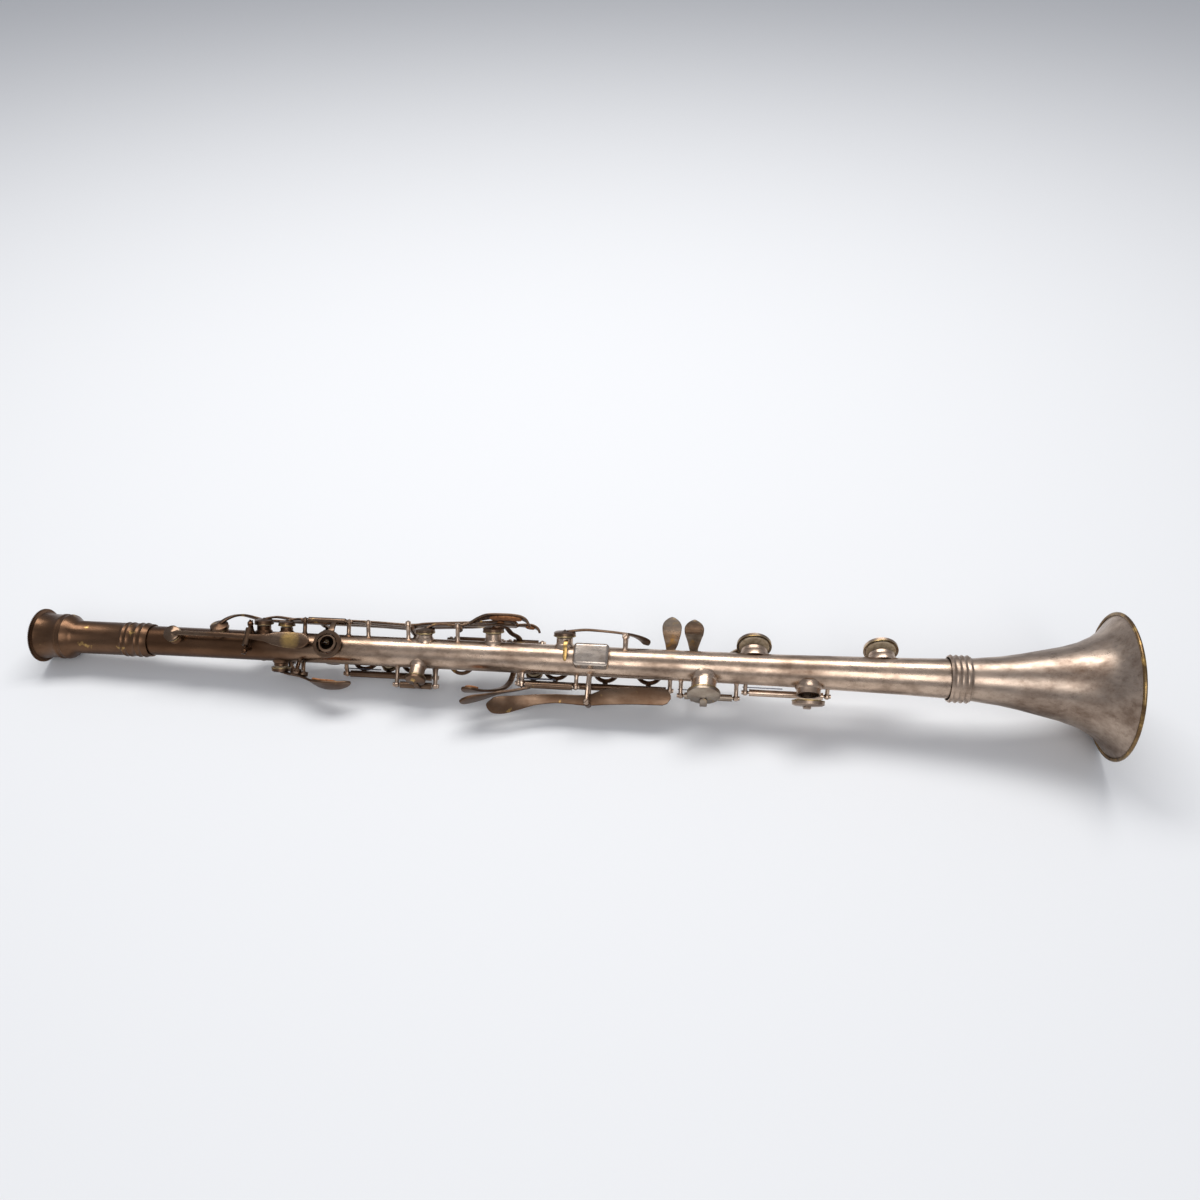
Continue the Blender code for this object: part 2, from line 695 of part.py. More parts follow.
def side_key(name, hole, number, path, touch, pose):
    """Long lever: pad cup, path to its lane, hub on the shared axle, and its touch."""
    z = LANES[number] * LANE_STEP
    s = SIDE_AXLE[0][0]
    hub, bore = lane_hub(s, z)
    stations = path + (lane(s - 22.0, 16.2, z), lane(s, 15.6, z), lane(s + 10.0, 16.9, z)) + touch
    start = strap(((hole[0], cup_top(hole), hole[1], LEVER_W),) + stations, 1.3)
    origin = Vector((s, SIDE_HEIGHT, z)) * MM
    place(name, fuse([hub, start, cup(hole)], [bore]), metal("tarnished_silver"), pose, origin)
    place(name + "_pad", pad(hole), pad_leather(), pose, origin)


def side_keys(pose):
    """Side keys of the right hand; the lowest one turns on a screw of its own post."""
    lanes = [number * LANE_STEP for number in LANES]
    side_key("side_trill_four_key", TRILL_FOUR_HOLE, 3,
             ((113.0, 15.4, 56.0, LEVER_W), (118.0, 17.0, 82.0, LEVER_W), (125.0, 17.2, 101.0, LEVER_W),
              lane(133.0, 16.6, lanes[3])),
             (lane(250.0, 18.6, lanes[3] - 0.6), lane(258.0, 20.4, lanes[3] - 2.0, 5.5),
              lane(266.0, 21.4, lanes[3] - 2.8, 7.0), lane(272.0, 21.2, lanes[3] - 2.8, 5.6),
              lane(275.0, 20.6, lanes[3] - 2.8, 2.6)), pose)
    side_key("side_trill_three_key", TRILL_THREE_HOLE, 2,
             ((138.0, 16.6, 78.0, LEVER_W), (145.0, 16.8, 92.0, LEVER_W), lane(153.0, 16.6, lanes[2])),
             (lane(262.0, 19.2, lanes[2]), lane(276.0, 19.6, lanes[2] - 0.2), lane(281.5, 19.8, lanes[2] - 0.6, 4.8),
              lane(285.5, 19.4, lanes[2] - 0.6, 5.0), lane(288.2, 17.8, lanes[2] - 0.6, 4.0),
              lane(289.2, 15.8, lanes[2] - 0.6, 2.6)), pose)
    side_key("side_fsharp_key", SIDE_FSHARP_HOLE, 1,
             ((149.5, 15.8, 75.0, LEVER_W), lane(153.5, 16.2, lanes[1] - 0.2), lane(170.0, 16.4, lanes[1])),
             (lane(260.0, 19.4, lanes[1]), lane(267.0, 20.6, lanes[1] + 0.1, 3.4), lane(273.0, 20.6, lanes[1] + 0.1, 3.8),
              lane(276.2, 19.4, lanes[1] + 0.1, 3.6), lane(277.4, 17.4, lanes[1] + 0.1, 2.8)), pose)
    hole = SIDE_EFLAT_HOLE
    s = SIDE_EFLAT_AXLE[0][0]
    z = lanes[0]
    hub, bore = lane_hub(s, z)
    lever = strap(((hole[0], cup_top(hole), hole[1], 2.6), lane(233.0, 15.4, z + 1.0, 2.6), lane(s, 15.6, z, LEVER_W),
                   lane(251.0, 17.6, z, LEVER_W), lane(256.0, 19.8, z + 1.2, 4.6), lane(262.0, 21.0, z + 2.6, 7.2),
                   lane(272.0, 21.4, z + 2.6, 7.2), lane(279.0, 21.0, z + 2.6, 6.4), lane(282.6, 19.4, z + 2.6, 5.6),
                   lane(284.2, 17.2, z + 2.6, 4.4), lane(284.8, 15.4, z + 2.6, 3.0)), 1.3)
    origin = Vector((s, SIDE_HEIGHT, z)) * MM
    place("side_eflat_key", fuse([hub, lever, cup(hole)], [bore]), metal("tarnished_silver"), pose, origin)
    place("side_eflat_key_pad", pad(hole), pad_leather(), pose, origin)


def side_pivots():
    """Axle of the long side levers and the single pivot screw of the lowest one."""
    start, end = axle_ends(SIDE_AXLE)
    first, second = axle_ends(SIDE_EFLAT_AXLE)
    tip = Vector((SIDE_EFLAT_AXLE[0][0], SIDE_HEIGHT, LANES[0] * LANE_STEP - LEVER_W * 0.5)) * MM
    return [post(*SIDE_AXLE[0]), post(*SIDE_AXLE[1]), rod(start, end, PIN_R, 6), post(*SIDE_EFLAT_AXLE[0]),
            rod(first, tip, PIN_R, 6), post(194.0, 58.0, 16.0)]


def ring_arm(s, axle_angle, side):
    """Short arm from a finger ring round to the hinge tube."""
    return strap(((s, 13.2, 180.0 - side * 30.0, 3.2), (s, 14.6, 180.0 - side * 40.0, 2.8),
                  (s, 15.2, axle_angle, 2.8)), 1.5)


def upper_ring_key(pose):
    hole = UPPER_RING_HOLE
    rings = [finger_ring(FINGER_HOLES[0]), finger_ring(FINGER_HOLES[1])]
    arms = [ring_arm(FINGER_HOLES[0][0], -135.0, -1.0), ring_arm(FINGER_HOLES[1][0], -135.0, -1.0)]
    link = strap((over_cup(hole, 0.0, 3.0), over_cup(hole, 4.6, 3.0), (hole[0], 16.2, -135.0, 3.0)), 1.3)
    build_key("upper_ring_key", UPPER_AXLE, rings + arms + [link], pose, hole=hole, lift=RING_LIFT)


def third_ring_key(pose):
    hole = THIRD_RING_HOLE
    arm = ring_arm(FINGER_HOLES[2][0], 129.0, 1.0)
    link = strap((over_cup(hole, 0.0, 3.0), over_cup(hole, -5.2, 3.0), (hole[0], 16.0, 129.0, 3.0)), 1.3)
    build_key("third_ring_key", THIRD_AXLE, [finger_ring(FINGER_HOLES[2]), arm, link], pose, hole=hole, lift=RING_LIFT)


def lower_ring_key(pose):
    hole = LOWER_RING_HOLE
    solids = []
    for finger in FINGER_HOLES[3:]:
        solids.append(finger_ring(finger))
        solids.append(ring_arm(finger[0], -129.0, -1.0))
    solids.append(strap((over_cup(hole, 0.0, 3.0), over_cup(hole, 5.2, 3.0),
                         (hole[0], 16.2, -129.0, 3.0)), 1.3))
    build_key("lower_ring_key", LOWER_AXLE, solids, pose, hole=hole, lift=RING_LIFT)


def sliver_key(pose):
    hole = SLIVER_HOLE
    arm = strap((over_cup(hole, -1.0, 2.8), over_cup(hole, -6.4, 2.8), (hole[0], 18.8, -107.0, 2.8)), 1.4)
    touch = strap(((219.0, 18.8, -109.0, 3.0), (219.0, 19.6, -118.0, 3.6), (221.0, 19.6, -128.0, 6.4),
                   (223.0, 19.3, -136.0, 3.0)), 1.3)
    build_key("eflat_sliver_key", SLIVER_AXLE, [arm, touch], pose, hole=hole)


def csharp_gsharp_key(pose):
    hole = CSHARP_HOLE
    arm = strap((over_cup(hole, 0.0, 3.0), over_cup(hole, 3.2, 3.0, 5.6), (273.5, 14.4, 94.0, 3.0),
                 (276.5, 14.6, 110.0, 3.0), (277.5, 15.4, 124.0, 3.4)), 1.3)
    touch = strap(((277.5, 16.0, 130.0, 3.4), (275.0, 17.4, 148.0, 3.2), (274.3, 17.6, 180.0, 3.2),
                   (273.0, 17.6, -146.0, 3.2), (270.0, 18.0, -122.0, 3.4), (264.0, 18.8, -106.0, 4.0),
                   (258.0, 19.4, -97.0, 7.0), (253.0, 19.8, -88.0, 9.0), (250.0, 19.8, -82.0, 5.0)), 1.4)
    build_key("csharp_gsharp_key", CSHARP_AXLE, [arm, touch], pose, hole=hole)


def cross_key(pose):
    hole = CROSS_HOLE
    arm = strap(((hole[0] + 1.0, cup_top(hole), hole[1], 2.8), (316.0, 17.2, 66.0, 3.0), (330.0, 16.6, 71.0, 3.2),
                 (338.0, 15.9, 72.0, 4.0), (343.0, 15.2, 82.0, 3.4), (347.0, 14.6, 96.0, 4.6),
                 (349.0, 14.6, 108.0, 5.0), (350.0, 14.8, 116.0, 2.4)), 1.4)
    build_key("b_fsharp_cross_key", CROSS_AXLE, [arm], pose, hole=hole)


def little_finger_plate(s, root, low, widths=(4.0, 5.0, 7.6, 10.2, 10.8, 9.4, 5.6)):
    """Oval touch that stands out past the tube on the player's right."""
    path = ((root, low, 146.0), (s, 17.6, 135.0), (s, 18.4, 120.0), (s, 20.3, 104.7), (s, 22.4, 96.0),
            (s, 24.3, 90.0), (s, 25.9, 85.6))
    return strap([(at, max(r, low - 0.6), angle, w) for (at, r, angle), w in zip(path, widths)], 1.3)


def aflat_key(pose):
    hole = AFLAT_HOLE
    arm = strap((over_cup(hole, -1.0, 4.0), over_cup(hole, -9.6, 4.0), (hole[0], 17.4, -117.0, 4.0)), 1.5)
    cross = strap(((376.0, 17.8, -119.0, 3.4), (376.0, 20.8, -135.0, 3.2), (376.0, 22.6, 180.0, 3.2),
                   (376.0, 21.8, 155.0, 3.2), (375.4, 21.2, 142.0, 4.0)), 1.4)
    plate = little_finger_plate(375.0, 376.0, 21.4)
    build_key("aflat_eflat_key", AFLAT_AXLE, [arm, cross, plate], pose, "warm_silver", hole)


def fsharp_csharp_key(pose):
    hole = FSHARP_HOLE
    arm = strap((over_cup(hole, 1.0, 3.6), over_cup(hole, 6.0, 3.6),
                 (400.0, 20.0, 132.0, 3.4), (394.0, 18.0, 142.0, 3.4), (391.0, 16.4, 148.0, 3.4)), 1.5)
    plate = little_finger_plate(362.6, 367.0, 16.4)
    build_key("fsharp_csharp_key", FSHARP_AXLE, [arm, plate], pose, "warm_silver", hole, OPEN_LIFT)


def f_c_key(pose):
    hole = F_HOLE
    arm = strap((over_cup(hole, -1.0, 4.0), over_cup(hole, -9.6, 4.0),
                 (hole[0], 16.6, -135.0, 4.0)), 1.5)
    build_key("f_c_key", F_AXLE, [arm], pose, "warm_silver", hole, OPEN_LIFT)


def e_b_key(pose):
    hole = E_HOLE
    arm = strap((over_cup(hole, 1.0, 4.0), over_cup(hole, 10.0, 4.0),
                 (hole[0], 16.6, 148.0, 4.0)), 1.5)
    touch = strap(((411.0, 16.6, 152.0, 3.4), (404.0, 18.8, 156.0, 4.0), (395.0, 19.0, 160.0, 8.0),
                   (387.0, 19.0, 163.0, 9.0), (383.0, 18.8, 164.0, 5.0)), 1.3)
    build_key("e_b_key", E_AXLE, [arm, touch], pose, "warm_silver", hole, OPEN_LIFT)


def left_levers(pose):
    """Two levers for the left little finger, on the player's left."""
    leaf = strap(((287.0, 16.0, -98.0, 3.2), (280.0, 17.8, -96.0, 3.2), (270.0, 20.4, -91.0, 4.0),
                  (263.0, 23.4, -86.0, 8.0), (257.0, 25.8, -82.0, 10.0), (252.5, 27.8, -79.0, 8.0),
                  (250.5, 28.6, -78.0, 3.6)), 1.3)
    build_key("left_e_b_lever", LEFT_ONE_AXLE, [leaf], pose)
    blade = strap(((264.5, 27.6, -86.0, 4.0, -34.0), (268.0, 28.0, -87.0, 9.0, -34.0), (274.0, 27.2, -88.0, 10.0, -32.0),
                   (281.0, 25.2, -92.0, 8.0, -26.0), (290.0, 22.8, -96.0, 6.0, -18.0), (302.0, 21.4, -99.0, 5.0, -10.0),
                   (319.0, 21.4, -100.0, 6.0, -10.0), (330.0, 18.8, -100.0, 9.0, -10.0),
                   (345.0, 17.6, -100.0, 9.6, -10.0), (364.0, 17.4, -100.0, 9.4, -10.0)), 1.3)
    build_key("left_f_c_lever", LEFT_TWO_AXLE, [blade], pose)


KEY_AXLES = (REGISTER_AXLE, THUMB_AXLE, A_AXLE, GSHARP_AXLE, UPPER_AXLE, THIRD_AXLE, SLIVER_AXLE, CSHARP_AXLE,
             LOWER_AXLE, CROSS_AXLE, AFLAT_AXLE, FSHARP_AXLE, F_AXLE, E_AXLE, LEFT_ONE_AXLE, LEFT_TWO_AXLE)
HOLES = (REGISTER_HOLE, TRILL_FOUR_HOLE, TRILL_THREE_HOLE, SIDE_FSHARP_HOLE, SIDE_EFLAT_HOLE, THUMB_VENT_HOLE,
         A_HOLE, GSHARP_HOLE, UPPER_RING_HOLE, THIRD_RING_HOLE, SLIVER_HOLE, CSHARP_HOLE, LOWER_RING_HOLE,
         CROSS_HOLE, AFLAT_HOLE, FSHARP_HOLE, F_HOLE, E_HOLE)


def build_all():
    clear_scene()
    pose = rest_pose()
    build_body(pose, KEY_AXLES, HOLES)
    build_barrel(pose)
    build_bell(pose)
    build_ferrule(pose)
    build_thumb_rest(pose)
    for make in (register_key, thumb_ring_key, a_key, throat_gsharp_key, side_keys, upper_ring_key, third_ring_key,
                 lower_ring_key, sliver_key, csharp_gsharp_key, cross_key, aflat_key, fsharp_csharp_key, f_c_key,
                 e_b_key, left_levers):
        make(pose)
    settle(pose)
    return pose


build_all()
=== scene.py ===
import json
import math

import bmesh
import bpy
from mathutils import Matrix, Vector


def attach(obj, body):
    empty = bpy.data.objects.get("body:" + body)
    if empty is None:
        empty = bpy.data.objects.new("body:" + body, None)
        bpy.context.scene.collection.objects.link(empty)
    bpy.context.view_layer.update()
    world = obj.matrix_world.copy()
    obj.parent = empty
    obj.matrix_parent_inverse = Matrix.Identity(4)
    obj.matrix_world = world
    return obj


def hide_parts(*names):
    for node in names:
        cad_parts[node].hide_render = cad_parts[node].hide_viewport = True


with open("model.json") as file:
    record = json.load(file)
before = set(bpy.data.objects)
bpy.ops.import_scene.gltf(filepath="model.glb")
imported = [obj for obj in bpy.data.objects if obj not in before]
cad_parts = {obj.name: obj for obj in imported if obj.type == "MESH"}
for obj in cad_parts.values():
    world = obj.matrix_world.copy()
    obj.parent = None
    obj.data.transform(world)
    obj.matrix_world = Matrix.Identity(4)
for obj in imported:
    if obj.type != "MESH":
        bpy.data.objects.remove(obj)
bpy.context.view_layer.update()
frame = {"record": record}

BODY_OF = {node: body for body, nodes in frame["record"]["behaviour"]["bodies"].items() for node in nodes}

# Metal clarinet, looks. Shapes are written in millimetres along the tube, then laid in the rest pose.

MM = 0.001

LENGTH = 595.0
TUBE_R = 8.3
WALL = 0.8
BORE_R = TUBE_R - WALL
FIT_GAP = 0.3
ROLL_DEG = 26.0

# Barrel
FLANGE_R = 15.3
CUP_R = 12.3
SOCKET_R = 10.9
SOCKET_DEPTH = 20.0
BARREL_WALL = 0.75
BARREL_R = TUBE_R + FIT_GAP + BARREL_WALL
BARREL_END = 67.0
TENON_START = 42.0
BARREL_PULL = 4.0
FLANGE_THICK = 1.3
BARREL_RINGS = (51.4, 54.4, 59.4, 62.8)

# Body and bell
BODY_END = 515.0
BODY_END_R = 10.8
BODY_TAPER = ((370.0, TUBE_R), (422.0, 8.6), (459.0, 9.3), (485.0, 9.8), (500.0, 10.3),
              (BODY_END, BODY_END_R))
FERRULE_START = 509.4
FERRULE_END = 520.4
FERRULE_BEADS = (0.0, 2.9, 5.8, 8.6)
RIM_R = 38.95
RIM_WIRE_R = 1.0
RIM_SETBACK = 1.8
RIM_LAP = 0.55
BELL_SEGMENTS = 160
TUBE_SEGMENTS = 96

# Posts, hinge tubes and pivot screws
POST_R = 1.15
BALL_R = 1.8
PIN_R = 0.8
HINGE_R = 1.9
END_GAP = 0.35
PIN_REACH = 2.0
POST_SEGMENTS = 16
HINGE_SEGMENTS = 20

# Pads, cups and tone hole chimneys
PAD_THICK = 2.0
PAD_GAP = 0.3
CUP_WALL = 0.8
CUP_TOP = 0.9
CUP_RIM_LIFT = 0.9
NIPPLE = 1.2
CHIMNEY_SHARE = 0.75
CHIMNEY_WALL = 0.9
CUP_SEGMENTS = 40
RING_SEGMENTS = 48

# Arms and touches
ARM_W = 3.2
ARM_T = 1.5
OPEN_LIFT = 2.0
RING_LIFT = 1.2

# Tone holes: s, angle, distance of the chimney's rim from the axis, cup radius
REGISTER_HOLE = (84.0, 3.0, 10.6, 4.5)
TRILL_FOUR_HOLE = (109.0, 37.0, 9.8, 5.0)
TRILL_THREE_HOLE = (133.0, 62.0, 11.6, 5.2)
SIDE_FSHARP_HOLE = (146.0, 66.0, 11.0, 4.6)
SIDE_EFLAT_HOLE = (226.4, 60.0, 10.9, 5.4)
THUMB_VENT_HOLE = (166.0, 130.0, 9.6, 4.2)
A_HOLE = (128.0, 180.0, 10.6, 5.0)
GSHARP_HOLE = (143.0, -115.0, 10.6, 5.2)
UPPER_RING_HOLE = (203.0, -164.0, 10.6, 4.4)
THIRD_RING_HOLE = (259.0, 158.0, 10.6, 5.0)
SLIVER_HOLE = (224.0, -77.0, 14.6, 5.5)
CSHARP_HOLE = (264.8, 63.0, 12.8, 5.8)
LOWER_RING_HOLE = (286.5, -162.0, 10.6, 4.8)
CROSS_HOLE = (304.6, 63.0, 12.4, 6.0)
AFLAT_HOLE = (381.5, -76.0, 15.0, 8.8)
FSHARP_HOLE = (408.0, 103.0, 11.4, 9.4)
F_HOLE = (437.0, -90.0, 13.0, 8.6)
E_HOLE = (476.0, 103.0, 12.4, 9.2)

# Finger holes: s, angle
THUMB_HOLE = (173.3, 0.0)
FRONT = 180.0
FINGER_HOLES = tuple((s, FRONT) for s in (189.0, 217.0, 244.5, 299.0, 327.0, 351.0))
FINGER_CHIMNEY_R = 5.1
FINGER_HOLE_R = 3.9
FINGER_RIM = 11.4
RING_INNER_R = FINGER_CHIMNEY_R + 0.8
RING_OUTER_R = 7.9
RING_LOW = 10.9
RING_HIGH = 12.5

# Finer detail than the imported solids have
STRAP_STEPS = 7
STRAP_CORNER = 4
STRAP_SOFTNESS = 0.8
END_SHARE = 0.22
SHARP_DEG = 38.0
WIRE_SIDES = 20
TEETH = 84
MILLED_SEGMENTS = 336
TOOTH_DEPTH = 0.8
SCREW_R = 1.15
SCREW_PROUD = 0.2
SLOT_ANGLE = 0.2
HEAD_STEPS = 12

# The instrument lies on its bell rim and its flange, rolled so that the thumb side shows
BARREL_END_AT = Vector((-0.2977202, 0.0, 0.0153363))
TILT = math.asin((RIM_R - FLANGE_R) / LENGTH)
ALONG_TUBE = Vector((1.0, 0.0, 0.0))
REST_POSE = (Matrix.Translation(BARREL_END_AT) @ Matrix.Rotation(-TILT, 4, "Y")
             @ Matrix.Rotation(math.radians(ROLL_DEG), 4, "X"))

# Materials: colours, and the sizes of their patterns

BROWN = (0.085, 0.042, 0.022)
CREAM = (0.60, 0.45, 0.34)
MID = (0.34, 0.225, 0.15)
GREY = (0.43, 0.335, 0.265)
BRONZE = (0.135, 0.07, 0.038)
BRASS = (0.55, 0.35, 0.12)
# Dark brown of the painted shade in corners and recesses
CORNER_SHADE_BROWN = (0.035, 0.022, 0.014)
HALF_LENGTH_M = 0.2983
CLOUD_SCALE = 55.0
STAIN_SCALE = 190.0
SPECK_SCALE = 900.0
WEAR_SCALE = 130.0
WORN_EDGE_SCALE = 300.0
RUB_SCALE = 420.0
CORNER_SHADE_REACH_M = 0.0035
PLATE_RELIEF_M = 0.00012


class Nodes:
    """Short way to add shader nodes and join them."""

    def __init__(self, name):
        self.material = bpy.data.materials.new(name)
        self.material.use_nodes = True
        self.tree = self.material.node_tree
        self.shader = self.tree.nodes["Principled BSDF"]
        self.coords = self.tree.nodes.new("ShaderNodeTexCoord").outputs["Object"]

    def add(self, kind, values=(), **settings):
        node = self.tree.nodes.new("ShaderNode" + kind)
        for key, value in settings.items():
            setattr(node, key, value)
        for socket, value in values:
            if isinstance(value, bpy.types.NodeSocket):
                self.tree.links.new(value, node.inputs[socket])
            else:
                node.inputs[socket].default_value = value
        return node

    def noise(self, scale, detail=4.0, roughness=0.55, stretch=(1.0, 1.0, 1.0)):
        spread = self.add("Mapping", [("Vector", self.coords), ("Scale", stretch)])
        return self.add("TexNoise", [("Vector", spread.outputs[0]), ("Scale", scale), ("Detail", detail),
                                     ("Roughness", roughness)]).outputs["Fac"]

    def ramp(self, source, stops):
        node = self.add("ValToRGB", [("Fac", source)])
        points = node.color_ramp.elements
        while len(points) < len(stops):
            points.new(0.5)
        for point, (place, colour) in zip(points, stops):
            point.position = place
            point.color = (*colour, 1.0) if len(colour) == 3 else colour
        return node.outputs["Color"]

    def level(self, source, low, high, to_low=0.0, to_high=1.0):
        limits = [("From Min", low), ("From Max", high), ("To Min", to_low), ("To Max", to_high)]
        return self.add("MapRange", [("Value", source)] + limits).outputs[0]

    def mix(self, share, first, second, blend="MIX"):
        node = self.tree.nodes.new("ShaderNodeMix")
        node.data_type = "RGBA"
        node.blend_type = blend
        for index, value in ((0, share), (6, first), (7, second)):
            if isinstance(value, bpy.types.NodeSocket):
                self.tree.links.new(value, node.inputs[index])
            else:
                node.inputs[index].default_value = value if index == 0 else (*value, 1.0)
        return node.outputs[2]

    def math(self, operation, a, b=0.5):
        return self.add("Math", [(0, a), (1, b)], operation=operation).outputs[0]

    def join(self, source, socket):
        self.tree.links.new(source, self.shader.inputs[socket])

    def bump(self, height, strength, distance):
        node = self.add("Bump", [("Height", height), ("Strength", strength), ("Distance", distance)])
        self.join(node.outputs[0], "Normal")


def along_tube(n):
    """Place along the tube from 0 at the barrel to 1 at the bell rim."""
    split = n.add("SeparateXYZ", [("Vector", n.coords)])
    return n.level(split.outputs["X"], -HALF_LENGTH_M, HALF_LENGTH_M)


def plated(name, tarnish, rough, tone=None, brass=0.0, worn_at=None, worn_r=0.01):
    """Old silver plate: tarnish in clouds and specks, painted shade in corners, fine rubbing marks and bare
    brass.
    """
    n = Nodes(name)
    if tone:
        base = n.add("RGB").outputs[0]
        base.default_value = (*tone, 1.0)
    else:
        base = n.ramp(along_tube(n), [(0.0, BRONZE), (0.22, BRONZE), (0.30, MID),
                                      (0.36, CREAM), (0.80, CREAM), (0.90, GREY), (1.0, GREY)])
    clouds = n.noise(CLOUD_SCALE, 5.0, 0.6, (0.6, 1.0, 1.0))
    specks = n.noise(SPECK_SCALE, 3.0, 0.7)
    dark = n.math("MULTIPLY", n.level(clouds, 0.60 - tarnish * 0.5, 0.78 - tarnish * 0.35), 0.75)
    colour = n.mix(dark, base, BROWN)
    stains = n.noise(STAIN_SCALE, 6.0, 0.7, (0.7, 1.0, 1.0))
    colour = n.mix(n.math("MULTIPLY", n.level(stains, 0.50, 0.68), 0.4), colour, BROWN)
    flecks = n.math("MULTIPLY", n.level(specks, 0.60, 0.74), 0.45)
    colour = n.mix(flecks, colour, BROWN)
    if brass:
        rubbed = n.math("MULTIPLY", n.level(n.noise(WEAR_SCALE, 4.0), 0.66 - brass * 0.4, 0.72), 0.9)
        colour = n.mix(rubbed, colour, BRASS)
    if worn_at:
        away = n.add("VectorMath", [(0, n.coords), (1, worn_at)], operation="DISTANCE").outputs["Value"]
        edge = n.level(n.noise(WORN_EDGE_SCALE, 3.0), 0.0, 1.0, -worn_r * 0.35, worn_r * 0.35)
        ragged = n.math("ADD", away, edge)
        colour = n.mix(n.level(ragged, worn_r, worn_r * 0.3, 0.0, 0.85), colour, BRASS)
    # Painted shade: ambient occlusion darkens the colour toward dark brown where nearby surfaces hem it in
    corner = n.add("AmbientOcclusion", [("Distance", CORNER_SHADE_REACH_M)], samples=6).outputs["AO"]
    colour = n.mix(n.math("MULTIPLY", n.level(corner, 0.75, 0.15), 0.85), colour, CORNER_SHADE_BROWN)
    n.join(colour, "Base Color")
    n.shader.inputs["Metallic"].default_value = 1.0
    rubs = n.noise(RUB_SCALE, 3.0, 0.6, (0.25, 1.0, 1.0))
    cloudy = n.level(clouds, 0.35, 0.7, rough - 0.05, rough + 0.12)
    streaky = n.level(rubs, 0.3, 0.7, -0.05, 0.07)
    n.join(n.math("ADD", cloudy, streaky), "Roughness")
    height = n.math("ADD", n.math("MULTIPLY", rubs, 0.6), specks)
    n.bump(height, 0.16, PLATE_RELIEF_M)
    return n.material


def leather():
    """Aged pad skin."""
    n = Nodes("pad_skin")
    n.join(n.ramp(n.noise(500.0), [(0.3, (0.34, 0.24, 0.14)), (0.7, (0.62, 0.50, 0.34))]), "Base Color")
    n.shader.inputs["Roughness"].default_value = 0.72
    n.bump(n.noise(2600.0, 3.0), 0.35, 0.0001)
    return n.material


def cork():
    """Old cork stained rust brown."""
    n = Nodes("cork")
    colour = n.ramp(n.noise(700.0, 6.0, 0.7), [(0.32, (0.10, 0.035, 0.012)), (0.5, (0.36, 0.14, 0.045)),
                                              (0.75, (0.52, 0.25, 0.10))])
    n.join(colour, "Base Color")
    n.shader.inputs["Roughness"].default_value = 0.85
    n.bump(n.noise(1500.0, 4.0), 0.5, 0.0002)
    return n.material


def spring_steel():
    """Blued steel with darker stains."""
    n = Nodes("spring_steel")
    n.join(n.ramp(n.noise(600.0), [(0.3, (0.05, 0.055, 0.075)), (0.7, (0.16, 0.16, 0.19))]), "Base Color")
    n.shader.inputs["Metallic"].default_value = 1.0
    n.shader.inputs["Roughness"].default_value = 0.3
    return n.material


FINISHES = {
    "tarnished_silver": plated("key_plate", 0.55, 0.30, (0.20, 0.135, 0.092), 0.06),
    "warm_silver": plated("tube_plate", 0.34, 0.28),
    "dark_bronze": plated("barrel_plate", 0.42, 0.33, (0.15, 0.083, 0.048), 0.02),
    "grey_silver": plated("bell_plate", 0.30, 0.33),
    "worn_brass": plated("rim_brass", 0.70, 0.30, (0.40, 0.27, 0.12), 0.2),
    "pad_leather": leather(),
}
CORK = cork()
STEEL = spring_steel()
SPRING_BRASS = plated("spring_brass", 0.3, 0.28, BRASS)
WORN_RIM = plated("cup_rim_wear", 0.5, 0.28, (0.50, 0.38, 0.20), 0.3)
REST_PLATE = plated("rest_plate", 0.22, 0.24, (0.62, 0.53, 0.45))
FINGER_PLATE = plated("little_finger_plate", 0.45, 0.34, (0.40, 0.33, 0.26), 0.1)
TOUCH_CENTRE = REST_POSE @ (Vector((152.5, 0.0, 13.2)) * MM)
REGISTER_PLATE = plated("register_plate", 0.5, 0.26, (0.21, 0.145, 0.10), 0.0, TOUCH_CENTRE, 0.006)

# Shapes


def radial(angle):
    a = math.radians(angle)
    return Vector((0.0, math.sin(a), math.cos(a)))


def polar(s, r, angle):
    return (Vector((s, 0.0, 0.0)) + radial(angle) * r) * MM


def new_mesh(verts, faces):
    mesh = bpy.data.meshes.new("solid")
    mesh.from_pydata([tuple(v) for v in verts], [], faces)
    bm = bmesh.new()
    bm.from_mesh(mesh)
    bmesh.ops.recalc_face_normals(bm, faces=bm.faces)
    bm.to_mesh(mesh)
    bm.free()
    return mesh


def lathe(profile, origin, axis, segments, closed=False):
    """Turned solid: profile holds (height along the axis, radius) in millimetres."""
    axis = axis.normalized()
    side = axis.orthogonal().normalized()
    if abs(axis.x) < 0.9:
        side = (Vector((1.0, 0.0, 0.0)) - axis * axis.x).normalized()
    other = axis.cross(side)
    verts = []
    rings = []
    for height, radius in profile:
        base = origin + axis * height * MM
        if radius == 0.0:
            rings.append([len(verts)])
            verts.append(base)
            continue
        ring = []
        for i in range(segments):
            a = math.tau * i / segments
            ring.append(len(verts))
            verts.append(base + (side * math.cos(a) + other * math.sin(a)) * radius * MM)
        rings.append(ring)
    pairs = list(zip(rings, rings[1:]))
    if closed:
        pairs.append((rings[-1], rings[0]))
    faces = []
    for low, high in pairs:
        for i in range(segments):
            j = (i + 1) % segments
            if len(low) == 1:
                faces.append((low[0], high[i], high[j]))
            elif len(high) == 1:
                faces.append((low[i], high[0], low[j]))
            else:
                faces.append((low[i], high[i], high[j], low[j]))
    return new_mesh(verts, faces)


